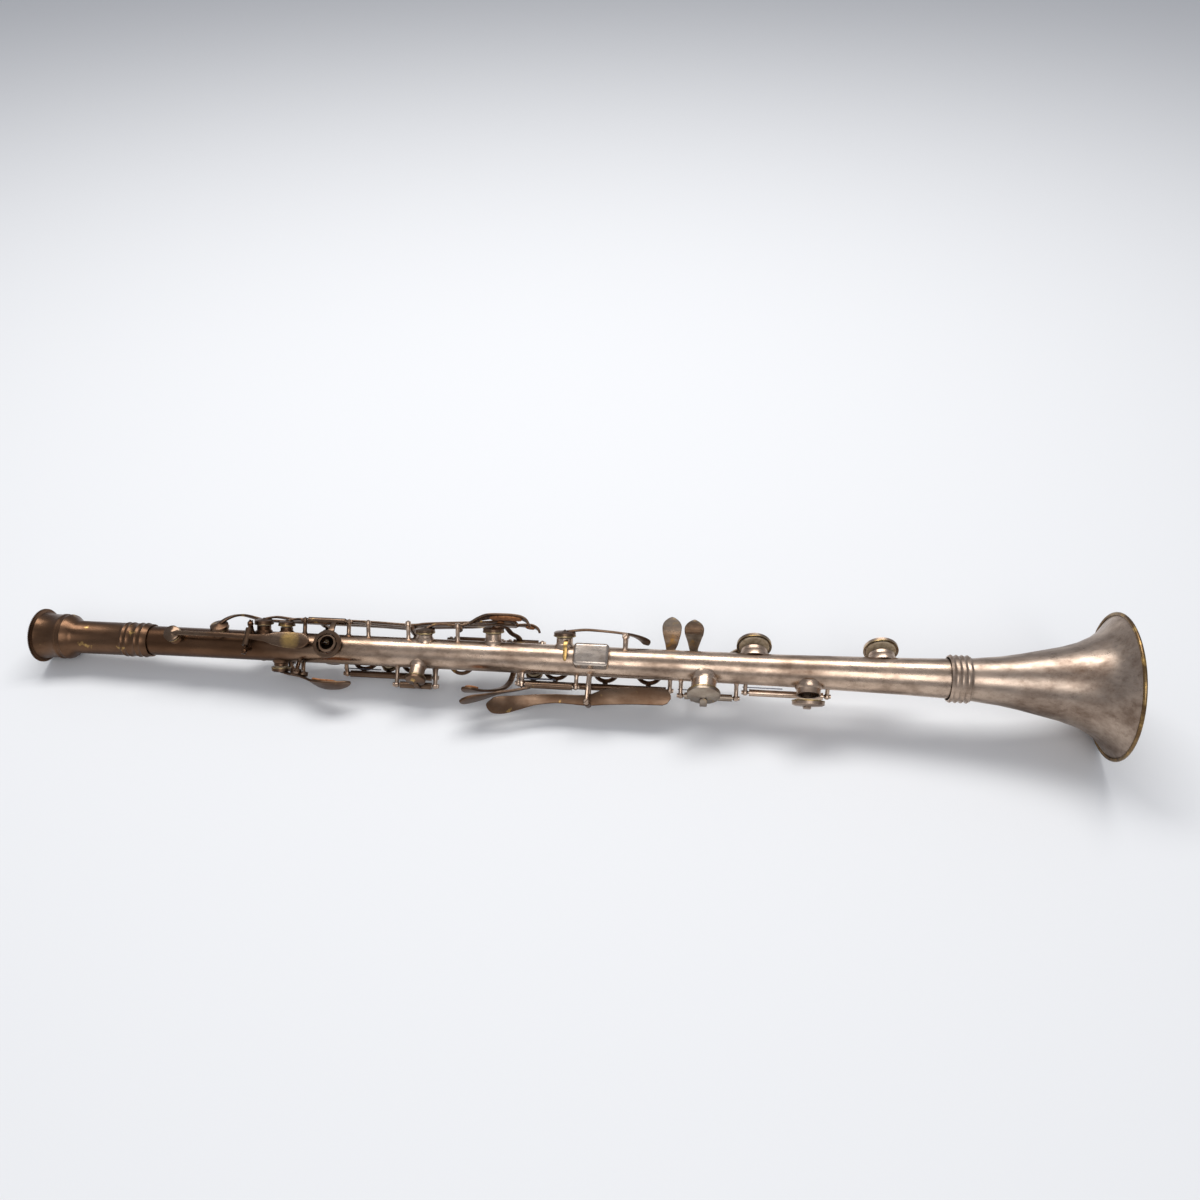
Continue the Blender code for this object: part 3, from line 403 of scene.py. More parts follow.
def smooth(stations, steps=STRAP_STEPS):
    """Stations along a soft curve through the given ones, with angles kept from jumping a full turn."""
    rows = []
    for station in stations:
        row = list(station) if len(station) > 4 else list(station) + [station[2]]
        for k in (2, 4):
            while rows and row[k] - rows[-1][k] > 180.0:
                row[k] -= 360.0
            while rows and rows[-1][k] - row[k] > 180.0:
                row[k] += 360.0
        rows.append(row)
    curve = []
    for i in range(len(rows) - 1):
        a, b, c, d = rows[max(i - 1, 0)], rows[i], rows[i + 1], rows[min(i + 2, len(rows) - 1)]
        for step in range(steps):
            t = step / steps
            ease = t * t * (3.0 - 2.0 * t)
            row = []
            for k in range(5):
                line = b[k] + (c[k] - b[k]) * t
                bend = (c[k] - a[k]) * 0.5 * t * (1.0 - t) ** 2 - (d[k] - b[k]) * 0.5 * t * t * (1.0 - t)
                hermite = b[k] + (c[k] - b[k]) * ease + bend
                row.append(line + (hermite - line) * STRAP_SOFTNESS)
            curve.append(row)
    curve.append(rows[-1])
    return curve


def rounded(width, reach):
    """Width of a bar near its end, so that the end is drawn as an arc."""
    half = width * 0.5
    if reach >= half:
        return width
    return max(2.0 * math.sqrt(half * half - (half - reach) ** 2), width * END_SHARE)


def strap(stations, thick=ARM_T):
    """Bent flat bar with rounded edges: a station is s, r, angle, width and, if not outward, its facing."""
    rows = smooth(stations)
    points = [polar(*row[:3]) for row in rows]
    verts = []
    faces = []
    count = len(rows)
    travel = [0.0]
    for a, b in zip(points, points[1:]):
        travel.append(travel[-1] + (b - a).length / MM)
    for i, row in enumerate(rows):
        ahead = points[min(i + 1, count - 1)]
        behind = points[max(i - 1, 0)]
        along = (ahead - behind).normalized()
        up = radial(row[4])
        up = (up - along * up.dot(along)).normalized()
        side = along.cross(up).normalized()
        width = min(rounded(row[3], travel[i]), rounded(row[3], travel[-1] - travel[i]))
        w = width * 0.5 * MM
        t = thick * 0.5 * MM
        c = min(w, t) * 0.7
        for corner in range(4):
            cx = (w - c) * (1, -1, -1, 1)[corner]
            cy = (t - c) * (1, 1, -1, -1)[corner]
            for step in range(STRAP_CORNER):
                a = math.pi * 0.5 * (corner + step / (STRAP_CORNER - 1))
                verts.append(points[i] + side * (cx + c * math.cos(a)) + up * (cy + c * math.sin(a)))
    sides = 4 * STRAP_CORNER
    for i in range(count - 1):
        for k in range(sides):
            n = (k + 1) % sides
            a = i * sides
            b = a + sides
            faces.append((a + k, a + n, b + n, b + k))
    faces.append(tuple(range(sides)))
    faces.append(tuple(range((count - 1) * sides, count * sides)))
    return new_mesh(verts, faces)


def rod(start, end, radius, segments=POST_SEGMENTS):
    axis = end - start
    length = axis.length / MM
    return lathe(((0.0, 0.0), (0.0, radius), (length, radius), (length, 0.0)), start, axis, segments)


def baked(obj, group, operation):
    """Mesh of obj after one exact Boolean with every mesh in group."""
    holder = bpy.data.collections.new("group")
    bpy.context.scene.collection.children.link(holder)
    others = []
    for mesh in group:
        other = bpy.data.objects.new("temp", mesh)
        holder.objects.link(other)
        others.append(other)
    mod = obj.modifiers.new("cut", "BOOLEAN")
    mod.operation = operation
    mod.solver = "EXACT"
    mod.operand_type = "COLLECTION"
    mod.collection = holder
    graph = bpy.context.evaluated_depsgraph_get()
    mesh = bpy.data.meshes.new_from_object(obj.evaluated_get(graph))
    obj.modifiers.clear()
    for other in others:
        bpy.data.objects.remove(other, do_unlink=True)
    bpy.data.collections.remove(holder)
    return mesh


def joined(meshes):
    """One mesh that holds all the given ones."""
    bm = bmesh.new()
    for mesh in meshes:
        bm.from_mesh(mesh)
    whole = bpy.data.meshes.new("whole")
    bm.to_mesh(whole)
    bm.free()
    return whole


def fused(solids, cuts):
    """One mesh from overlapping solids, with the cuts taken out."""
    obj = bpy.data.objects.new("temp", solids[0])
    bpy.context.scene.collection.objects.link(obj)
    if len(solids) > 1:
        obj.data = baked(obj, solids[1:], "UNION")
    obj.data = baked(obj, cuts, "DIFFERENCE")
    mesh = obj.data
    bpy.data.objects.remove(obj, do_unlink=True)
    return mesh


def shown(name, mesh, material):
    mesh.materials.clear()
    mesh.materials.append(material)
    mesh.shade_smooth()
    mesh.set_sharp_from_angle(angle=math.radians(SHARP_DEG))
    mesh.name = name
    obj = bpy.data.objects.new(name, mesh)
    bpy.context.scene.collection.objects.link(obj)
    return obj


def screw_heads(axle):
    """Round screw head with a slot on the outer side of each of an axle's two balls."""
    start, end = axle_ends(axle)
    along = (end - start).normalized()
    return [screw_head(start, -along), screw_head(end, along)]


def screw_head(centre, outward):
    """Two half discs, with the slot left between them."""
    side = outward.orthogonal().normalized()
    other = outward.cross(side)
    bm = bmesh.new()
    for half in (1.0, -1.0):
        rims = []
        for height in (BALL_R * 0.7, BALL_R + SCREW_PROUD):
            ring = []
            for i in range(HEAD_STEPS + 1):
                a = SLOT_ANGLE + (math.pi - 2.0 * SLOT_ANGLE) * i / HEAD_STEPS
                x = math.cos(a) * SCREW_R * half
                y = math.sin(a) * SCREW_R * half
                ring.append(bm.verts.new(centre + (outward * height + side * x + other * y) * MM))
            rims.append(ring)
        bm.faces.new(rims[1])
        for i in range(len(rims[0])):
            j = (i + 1) % len(rims[0])
            bm.faces.new((rims[0][i], rims[0][j], rims[1][j], rims[1][i]))
    bmesh.ops.recalc_face_normals(bm, faces=bm.faces)
    mesh = bpy.data.meshes.new("head")
    bm.to_mesh(mesh)
    bm.free()
    return mesh


def mill(mesh):
    """Fine teeth round the barrel's flange."""
    for v in mesh.vertices:
        r = math.hypot(v.co.y, v.co.z)
        if r > (FLANGE_R - 0.1) * MM:
            turn = math.atan2(v.co.y, v.co.z)
            tooth = 0.5 + 0.5 * math.cos(turn * TEETH)
            shrink = 1.0 - TOOTH_DEPTH * (1.0 - tooth) / FLANGE_R
            v.co.y *= shrink
            v.co.z *= shrink


def tube_radius(s):
    """Outer radius of the body tube, which widens below the last finger hole."""
    marks = ((0.0, TUBE_R),) + BODY_TAPER
    for (s0, r0), (s1, r1) in zip(marks, marks[1:]):
        if s <= s1:
            return r0 + (r1 - r0) * (s - s0) / (s1 - s0)
    return BODY_END_R


def chimney(hole):
    """Short tube that a pad closes, flared where it meets the body."""
    s, angle, rim, cup_r = hole
    outer = cup_r * CHIMNEY_SHARE
    base = tube_radius(s)
    low = base - WALL * 0.6 - outer * 0.35
    profile = ((low, 0.0), (low, outer + 1.0), (base + 0.1, outer + 0.8), (base + 1.1, outer),
               (rim, outer), (rim, 0.0))
    return lathe(profile, polar(s, 0.0, angle), radial(angle), CUP_SEGMENTS)


def chimney_bore(hole):
    s, angle, rim, cup_r = hole
    bore = cup_r * CHIMNEY_SHARE - CHIMNEY_WALL
    return lathe(((2.0, 0.0), (2.0, bore), (rim + 2.0, bore), (rim + 2.0, 0.0)), polar(s, 0.0, angle),
                 radial(angle), CUP_SEGMENTS)


def finger_chimney(hole):
    s, angle = hole
    r = FINGER_CHIMNEY_R
    profile = ((6.0, 0.0), (6.0, r), (FINGER_RIM - 0.5, r), (FINGER_RIM, r - 0.5), (FINGER_RIM, 0.0))
    return lathe(profile, polar(s, 0.0, angle), radial(angle), CUP_SEGMENTS)


def finger_bore(hole):
    s, angle = hole
    r = FINGER_HOLE_R
    return lathe(((2.0, 0.0), (2.0, r), (FINGER_RIM + 2.0, r), (FINGER_RIM + 2.0, 0.0)), polar(s, 0.0, angle),
                 radial(angle), CUP_SEGMENTS)


def cup(hole):
    """Pad cup with a pointed centre over a tone hole."""
    s, angle, rim, r = hole
    low = rim + CUP_RIM_LIFT
    roof = rim + PAD_GAP + PAD_THICK + PAD_GAP
    top = roof + CUP_TOP
    profile = ((roof, 0.0), (roof, r - CUP_WALL), (low, r - CUP_WALL), (low, r), (top - 0.5, r),
               (top, r - 0.9), (top + 0.25, 1.3), (top + NIPPLE, 0.0))
    return lathe(profile, polar(s, 0.0, angle), radial(angle), CUP_SEGMENTS)


def cup_top(hole):
    return hole[2] + PAD_GAP + PAD_THICK + PAD_GAP + CUP_TOP


def over_cup(hole, across, width=ARM_W, along=0.0):
    """Station level with the top of a pad cup, the given distances round and along from its centre."""
    height = cup_top(hole)
    turn = math.degrees(math.atan2(across, height))
    return hole[0] + along, math.hypot(height, across), hole[1] + turn, width, hole[1]


def pad(hole):
    s, angle, rim, cup_r = hole
    r = cup_r - CUP_WALL - PAD_GAP
    low = rim + PAD_GAP
    high = low + PAD_THICK
    profile = ((low, 0.0), (low, r - 0.5), (low + 0.5, r), (high, r), (high, 0.0))
    return lathe(profile, polar(s, 0.0, angle), radial(angle), CUP_SEGMENTS)


def post(s, angle, ball):
    """Round post on the tube with a ball head whose centre is at the given radius."""
    base = tube_radius(s)
    profile = [(base - 0.7, 0.0), (base - 0.7, 1.8), (base + 0.9, POST_R), (ball - 1.4, POST_R)]
    for step in (-15.0, 40.0):
        a = math.radians(step)
        profile.append((ball + BALL_R * math.sin(a), BALL_R * math.cos(a)))
    profile.append((ball + BALL_R, 0.0))
    return lathe(profile, polar(s, 0.0, angle), radial(angle), POST_SEGMENTS)


def end_inset(axle):
    """Distance from a ball's centre to the hinge tube's end, clear of the ball and of a leaning post."""
    spread = (axle[0][1] - axle[1][1] + 180.0) % 360.0 - 180.0
    lean = math.radians(abs(spread) * 0.5)
    beside_post = HINGE_R * math.tan(lean) + POST_R / math.cos(lean) + END_GAP
    return max(BALL_R + END_GAP, beside_post)


def pins(axle):
    """Pivot screw tips that reach from the two ball heads into the hinge tube."""
    start, end = axle_ends(axle)
    along = (end - start).normalized()
    reach = (end_inset(axle) + PIN_REACH) * MM
    return [rod(start, start + along * reach, PIN_R), rod(end, end - along * reach, PIN_R)]


def axle_ends(axle):
    return [polar(s, ball, angle) for s, angle, ball in axle]


def axle_posts(axle):
    first, second = axle
    return [post(*first), post(*second)] + pins(axle)


def hinge_tube(axle):
    """Hinge tube between two posts, round their pivot screws."""
    start, end = axle_ends(axle)
    inset = (end - start).normalized() * end_inset(axle) * MM
    return rod(start + inset, end - inset, HINGE_R, HINGE_SEGMENTS)


def finger_ring(hole):
    s, angle = hole
    profile = ((RING_LOW, RING_INNER_R), (RING_LOW, RING_OUTER_R), (RING_HIGH - 0.4, RING_OUTER_R),
               (RING_HIGH, RING_OUTER_R - 0.4), (RING_HIGH, RING_INNER_R))
    return lathe(profile, polar(s, 0.0, angle), radial(angle), RING_SEGMENTS, closed=True)


def axle_middle(axle):
    start, end = axle_ends(axle)
    return (start + end) * 0.5


# Hinge axles: two posts, each with s, angle and distance of its ball from the axis

REGISTER_AXLE = ((128.0, 35.5, 15.0), (128.0, -29.5, 15.0))
THUMB_AXLE = ((156.5, 68.0, 15.6), (182.0, 68.0, 15.6))
A_AXLE = ((146.0, 145.0, 15.2), (146.0, -145.0, 15.2))
GSHARP_AXLE = ((156.0, -75.0, 15.4), (156.0, -115.0, 15.4))
UPPER_AXLE = ((180.0, -134.0, 15.0), (231.0, -134.0, 15.0))
THIRD_AXLE = ((237.5, 128.0, 15.0), (267.0, 128.0, 15.0))
SLIVER_AXLE = ((211.0, -108.0, 18.0), (233.0, -108.0, 18.0))
CSHARP_AXLE = ((271.5, 128.0, 15.0), (290.0, 128.0, 15.0))
LOWER_AXLE = ((279.0, -128.0, 15.0), (363.0, -128.0, 15.0))
CROSS_AXLE = ((338.0, 52.0, 15.4), (338.0, 92.0, 15.4))
AFLAT_AXLE = ((369.0, -118.0, 16.5), (399.0, -118.0, 16.5))
FSHARP_AXLE = ((361.4, 150.0, 15.0), (399.0, 150.0, 15.0))
F_AXLE = ((404.0, -138.0, 15.0), (448.0, -138.0, 15.0))
E_AXLE = ((405.0, 150.0, 15.0), (488.0, 150.0, 15.6))
SIDE_AXLE = ((217.0, 56.0, 16.8), (217.0, 124.0, 16.8))
SIDE_EFLAT_AXLE = ((245.0, 56.0, 16.8), (245.0, 124.0, 16.8))
LEFT_ONE_AXLE = ((282.0, -98.0, 14.6), (312.0, -98.0, 14.6))
LEFT_TWO_AXLE = ((319.0, -82.0, 24.0), (319.0, -112.0, 24.0))


def body_shell():
    """Outside of the body tube, and its inside in the other direction."""
    marks = [(TENON_START, TUBE_R)] + list(BODY_TAPER)
    inner = [(s, r - WALL) for s, r in reversed(marks)]
    return marks, inner


KEY_AXLES = (REGISTER_AXLE, THUMB_AXLE, A_AXLE, GSHARP_AXLE, UPPER_AXLE, THIRD_AXLE, SLIVER_AXLE, CSHARP_AXLE,
             LOWER_AXLE, CROSS_AXLE, AFLAT_AXLE, FSHARP_AXLE, F_AXLE, E_AXLE, LEFT_ONE_AXLE, LEFT_TWO_AXLE)
HOLES = (REGISTER_HOLE, TRILL_FOUR_HOLE, TRILL_THREE_HOLE, SIDE_FSHARP_HOLE, SIDE_EFLAT_HOLE, THUMB_VENT_HOLE,
         A_HOLE, GSHARP_HOLE, UPPER_RING_HOLE, THIRD_RING_HOLE, SLIVER_HOLE, CSHARP_HOLE, LOWER_RING_HOLE,
         CROSS_HOLE, AFLAT_HOLE, FSHARP_HOLE, F_HOLE, E_HOLE)


def build_body():
    """Tube with its chimneys bored through, and the posts brazed to it."""
    marks, inner = body_shell()
    outside = [(TENON_START, 0.0)] + marks + [(BODY_END, 0.0)]
    solids = [lathe(outside, Vector(), ALONG_TUBE, TUBE_SEGMENTS)]
    cuts = []
    for hole in HOLES:
        solids.append(chimney(hole))
        cuts.append(chimney_bore(hole))
    for hole in (THUMB_HOLE,) + FINGER_HOLES:
        solids.append(finger_chimney(hole))
        cuts.append(finger_bore(hole))
    bore = [(BODY_END + 5.0, 0.0), (BODY_END + 5.0, inner[0][1])] + inner
    bore += [(TENON_START - 5.0, BORE_R), (TENON_START - 5.0, 0.0)]
    cuts.append(lathe(bore, Vector(), ALONG_TUBE, TUBE_SEGMENTS))
    fittings = side_pivots()
    for axle in KEY_AXLES:
        fittings.extend(axle_posts(axle))
        fittings.extend(screw_heads(axle))
    dress("body_tube", [fused(solids, cuts)] + fittings, "warm_silver")


def build_barrel():
    """Mouthpiece barrel: milled flange, flared cup with beads, and a turned sleeve."""
    outer = [(0.0, FLANGE_R), (FLANGE_THICK, FLANGE_R), (FLANGE_THICK + 0.5, 13.4), (4.0, 12.8),
             (8.0, CUP_R + 0.2), (12.0, CUP_R + 0.2), (12.9, 12.9), (13.9, 12.9), (14.5, CUP_R),
             (16.4, CUP_R), (17.0, 12.8), (18.4, 12.4), (20.6, BARREL_R + 1.2), (22.6, BARREL_R),
             (50.0, BARREL_R)]
    for start in BARREL_RINGS:
        outer += [(start, BARREL_R + 0.1), (start + 0.7, BARREL_R + 0.55), (start + 1.4, BARREL_R + 0.1)]
    outer.append((BARREL_END, BARREL_R - 0.1))
    step = TENON_START - 1.0 - BARREL_PULL
    inner = [(BARREL_END, TUBE_R + FIT_GAP), (step, TUBE_R + FIT_GAP), (step, BORE_R), (SOCKET_DEPTH, BORE_R),
             (SOCKET_DEPTH, SOCKET_R), (0.0, SOCKET_R)]
    mesh = lathe(outer + inner, Vector(), ALONG_TUBE, MILLED_SEGMENTS, closed=True)
    mill(mesh)
    dress("barrel", [mesh], "dark_bronze")


# Bell flare: share of its length and share of its rise from the tube's end to the rim
BELL_FLARE = ((0.0, 0.0), (0.073, 0.016), (0.272, 0.086), (0.403, 0.16), (0.533, 0.25), (0.664, 0.34),
              (0.779, 0.453), (0.869, 0.594), (0.933, 0.75), (0.979, 0.914), (1.0, 1.0))


def bell_marks():
    """Outside of the bell from the body's end to just inside the rim wire."""
    start = BODY_END + FIT_GAP
    length = LENGTH - RIM_SETBACK - start
    rise = RIM_R - 2.0 * RIM_WIRE_R - RIM_LAP - BODY_END_R
    return [(start + length * along, BODY_END_R + rise * up) for along, up in BELL_FLARE]


def build_bell():
    """Flared bell, and the brass wire rolled into its rim."""
    outer = bell_marks()
    outer.append((LENGTH - RIM_WIRE_R, RIM_R - 1.5 * RIM_WIRE_R))
    inner = [(s + 0.5, r - WALL) for s, r in reversed(outer[1:])]
    inner.append((outer[0][0], outer[0][1] - WALL))
    mesh = lathe(outer + inner, Vector(), ALONG_TUBE, BELL_SEGMENTS, closed=True)
    dress("bell", [mesh], "grey_silver")
    loop = []
    centre_s = LENGTH - RIM_WIRE_R
    for i in range(WIRE_SIDES):
        a = math.tau * i / WIRE_SIDES + math.pi / WIRE_SIDES
        scale = RIM_WIRE_R / math.cos(math.pi / WIRE_SIDES)
        loop.append((centre_s + scale * math.cos(a), RIM_R - RIM_WIRE_R + scale * math.sin(a)))
    inside = outer[-2][1] + FIT_GAP
    loop = [(s, max(r, inside)) for s, r in loop]
    ring = lathe(loop, Vector(), ALONG_TUBE, BELL_SEGMENTS, closed=True)
    dress("bell_rim_wire", [ring], "worn_brass")


def build_ferrule():
    """Beaded sleeve over the joint of body and bell."""
    inner = bell_marks()[1][1] + FIT_GAP
    outer = []
    for bead in FERRULE_BEADS:
        start = FERRULE_START + bead
        outer += [(start, inner + 0.6), (start + 1.1, inner + 1.3), (start + 2.2, inner + 0.6)]
    outer += [(FERRULE_END, inner + 0.6), (FERRULE_END, inner), (FERRULE_START, inner)]
    dress("bell_ferrule", [lathe(outer, Vector(), ALONG_TUBE, TUBE_SEGMENTS, closed=True)], "grey_silver")


REST_S = 310.6
REST_LENGTH = 19.4
REST_WIDTH = 13.0
REST_TOP = 12.6
REST_ANGLE = 3.0
REST_FLOOR = 4.0
REST_BEVEL = 2.2
REST_CUT = (290.0, 350.0)


def build_thumb_rest():
    """Hollow thumb block with rounded edges, seated on the thumb side of the tube."""
    bm = bmesh.new()
    bmesh.ops.create_cube(bm, size=1.0)
    height = REST_TOP - REST_FLOOR
    for v in bm.verts:
        v.co = Vector((v.co.x * REST_LENGTH, v.co.y * REST_WIDTH, v.co.z * height)) * MM
    edges = [e for e in bm.edges if max(v.co.z for v in e.verts) > 0.0]
    bmesh.ops.bevel(bm, geom=edges, offset=REST_BEVEL * MM, segments=8, profile=0.5, affect="EDGES")
    mesh = bpy.data.meshes.new("solid")
    bm.to_mesh(mesh)
    bm.free()
    centre = polar(REST_S + REST_LENGTH * 0.5, REST_FLOOR + height * 0.5, REST_ANGLE)
    mesh.transform(Matrix.Translation(centre) @ Matrix.Rotation(-math.radians(REST_ANGLE), 4, "X"))
    clear = TUBE_R + FIT_GAP
    low, high = REST_CUT
    tube = lathe(((low, 0.0), (low, clear), (high, clear), (high, 0.0)), Vector(), ALONG_TUBE, TUBE_SEGMENTS)
    dress("thumb_rest", [fused([mesh], [tube])], "warm_silver", None, REST_PLATE)


def lift_turn(axle, hole, lift):
    """Turn about the axle, in radians, that raises a pad's centre off its hole by the lift."""
    start, end = axle_ends(axle)
    along = (end - start).normalized()
    arm = polar(hole[0], hole[2], hole[1]) - start
    arm -= along * arm.dot(along)
    return lift * MM / along.cross(arm).dot(radial(hole[1]))


def dress(name, solids, slot, turn=None, finish=None):
    """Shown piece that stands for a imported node, rides on its body and takes its finish from a slot."""
    mesh = joined(solids)
    if turn:
        mesh.transform(turn)
    mesh.transform(REST_POSE)
    obj = shown(name + "_look", mesh, finish or FINISHES[slot])
    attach(obj, BODY_OF[name])
    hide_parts(name)
    return obj


def added(name, solids, finish, body, turn=None):
    """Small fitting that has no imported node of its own."""
    mesh = joined(solids)
    if turn:
        mesh.transform(turn)
    mesh.transform(REST_POSE)
    obj = shown(name, mesh, finish)
    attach(obj, body)
    return obj


def cup_rim(hole):
    """Bead round the lower edge of a pad cup, rubbed down to brass."""
    s, angle, rim, r = hole
    low = rim + CUP_RIM_LIFT - 0.05
    profile = ((low, r - 0.3), (low, r + 0.1), (low + 0.35, r + 0.22), (low + 0.7, r + 0.1),
               (low + 0.7, r - 0.3))
    return lathe(profile, polar(s, 0.0, angle), radial(angle), CUP_SEGMENTS, closed=True)


def axle_turn(axle, hole, lift):
    """Transform that stands an open key off its hole by the lift."""
    start, end = axle_ends(axle)
    turn = Matrix.Rotation(lift_turn(axle, hole, lift), 4, (end - start).normalized())
    middle = axle_middle(axle)
    return Matrix.Translation(middle) @ turn @ Matrix.Translation(-middle)


def build_key(name, axle, solids, slot="tarnished_silver", hole=None, lift=0.0, finish=None):
    """Key that turns on its axle, with its pad."""
    parts = [hinge_tube(axle)] + solids
    turn = None
    if hole:
        parts.append(cup(hole))
        turn = axle_turn(axle, hole, lift)
        dress(name + "_pad", [pad(hole)], "pad_leather", turn)
        added(name + "_cup_rim", [cup_rim(hole)], WORN_RIM, BODY_OF[name], turn)
    dress(name, parts, slot, turn, finish)


# Thicknesses of the bars that keys are bent from

THIN_BAR = 1.3
KEY_BAR = 1.4


def register_key():
    """Long key on the thumb side with a broad worn touch."""
    s, angle = REGISTER_HOLE[:2]
    top = cup_top(REGISTER_HOLE)
    arm = strap(((s + 1.0, top, angle, 2.6), (110.0, 14.6, angle, 2.6), (128.0, 13.4, angle, 3.0),
                 (138.0, 13.6, 2.0, 4.0), (143.0, 13.3, 1.0, 7.0), (150.0, 12.6, 0.5, 9.0),
                 (157.0, 12.3, 0.0, 9.4), (161.0, 12.2, 0.0, 7.6), (163.6, 12.2, 0.0, 3.6)), KEY_BAR)
    build_key("register_key", REGISTER_AXLE, [arm], hole=REGISTER_HOLE, finish=REGISTER_PLATE)


def thumb_ring_key():
    """Ring round the thumb hole, with an arm back to its vent pad."""
    ring = finger_ring(THUMB_HOLE)
    s = THUMB_HOLE[0]
    arm = strap(((s + 1.0, 13.4, 29.0, 5.0), (s + 1.0, 14.0, 42.0, 3.4), (s + 1.0, 15.4, 66.0, 2.8)))
    hole = THUMB_VENT_HOLE
    back = strap(((hole[0], 14.3, 68.0, 3.0), (hole[0], 13.2, 80.0, 3.0), (hole[0], 13.0, 96.0, 3.0),
                  over_cup(hole, -5.0, 3.0), over_cup(hole, 0.0, 3.0)), THIN_BAR)
    build_key("thumb_ring_key", THUMB_AXLE, [ring, arm, back], hole=hole, lift=RING_LIFT)


def a_key():
    """Short key on the front, between the first finger and the barrel."""
    s = A_HOLE[0]
    top = cup_top(A_HOLE)
    arm = strap(((s + 1.0, top, 180.0, 2.8), (138.0, 14.2, 180.0, 3.0), (146.0, 13.2, 180.0, 4.0),
                 (158.0, 14.6, 180.0, 5.0), (166.0, 15.6, 180.0, 9.0), (172.0, 16.0, 180.0, 8.6),
                 (176.0, 16.0, 180.0, 4.0)))
    build_key("a_key", A_AXLE, [arm], hole=A_HOLE)


def throat_gsharp_key():
    """Key with a broad leaf touch that stands out on the player's left."""
    s = GSHARP_HOLE[0]
    top = cup_top(GSHARP_HOLE)
    arm = strap(((s + 1.0, top, -112.0, 2.8), (150.0, 15.4, -100.0, 3.0), (156.0, 16.4, -94.0, 4.4),
                 (162.0, 18.6, -88.0, 4.6), (167.0, 21.0, -84.0, 8.0), (173.0, 22.2, -82.0, 10.0),
                 (180.0, 22.0, -82.0, 9.4), (185.0, 20.8, -82.0, 6.4), (187.6, 19.8, -82.0, 2.6)), KEY_BAR)
    hub = strap(((150.5, 14.9, -96.0, 5.0), (160.5, 15.2, -96.0, 5.0)), 2.6)
    build_key("throat_gsharp_key", GSHARP_AXLE, [arm, hub], hole=GSHARP_HOLE)


# Three side levers share one axle: each runs in its own lane, z millimetres toward the thumb side

SIDE_HEIGHT = 13.9
LEVER_W = 2.8
LANE_STEP = 3.2
LANES = (1.5, 0.5, -0.5, -1.5)
SIDE_PIN_SIDES = 6
LONE_POST = (194.0, 58.0, 16.0)


def lane(s, y, z, width=LEVER_W):
    """Station of a side lever at height y over the axis, facing straight out to the player's right."""
    return s, math.hypot(y, z), math.degrees(math.atan2(y, z)), width, 90.0


def lane_hub(s, z):
    """Hub of a side lever round its axle."""
    low = Vector((s, SIDE_HEIGHT, z - LEVER_W * 0.5)) * MM
    high = Vector((s, SIDE_HEIGHT, z + LEVER_W * 0.5)) * MM
    return rod(low, high, HINGE_R, HINGE_SEGMENTS)


def side_key(name, hole, number, path, touch):
    """Long lever: pad cup, path to its lane, hub on the shared axle, and its touch."""
    z = LANES[number] * LANE_STEP
    s = SIDE_AXLE[0][0]
    hub = lane_hub(s, z)
    stations = path + (lane(s - 22.0, 16.2, z), lane(s, 15.6, z), lane(s + 10.0, 16.9, z)) + touch
    lever = strap(((hole[0], cup_top(hole), hole[1], LEVER_W),) + stations, THIN_BAR)
    dress_side_key(name, hole, hub, lever)


def dress_side_key(name, hole, hub, lever):
    """Side lever with its cup, its pad and the bead round the cup."""
    dress(name, [hub, lever, cup(hole)], "tarnished_silver")
    dress(name + "_pad", [pad(hole)], "pad_leather")
    added(name + "_cup_rim", [cup_rim(hole)], WORN_RIM, BODY_OF[name])


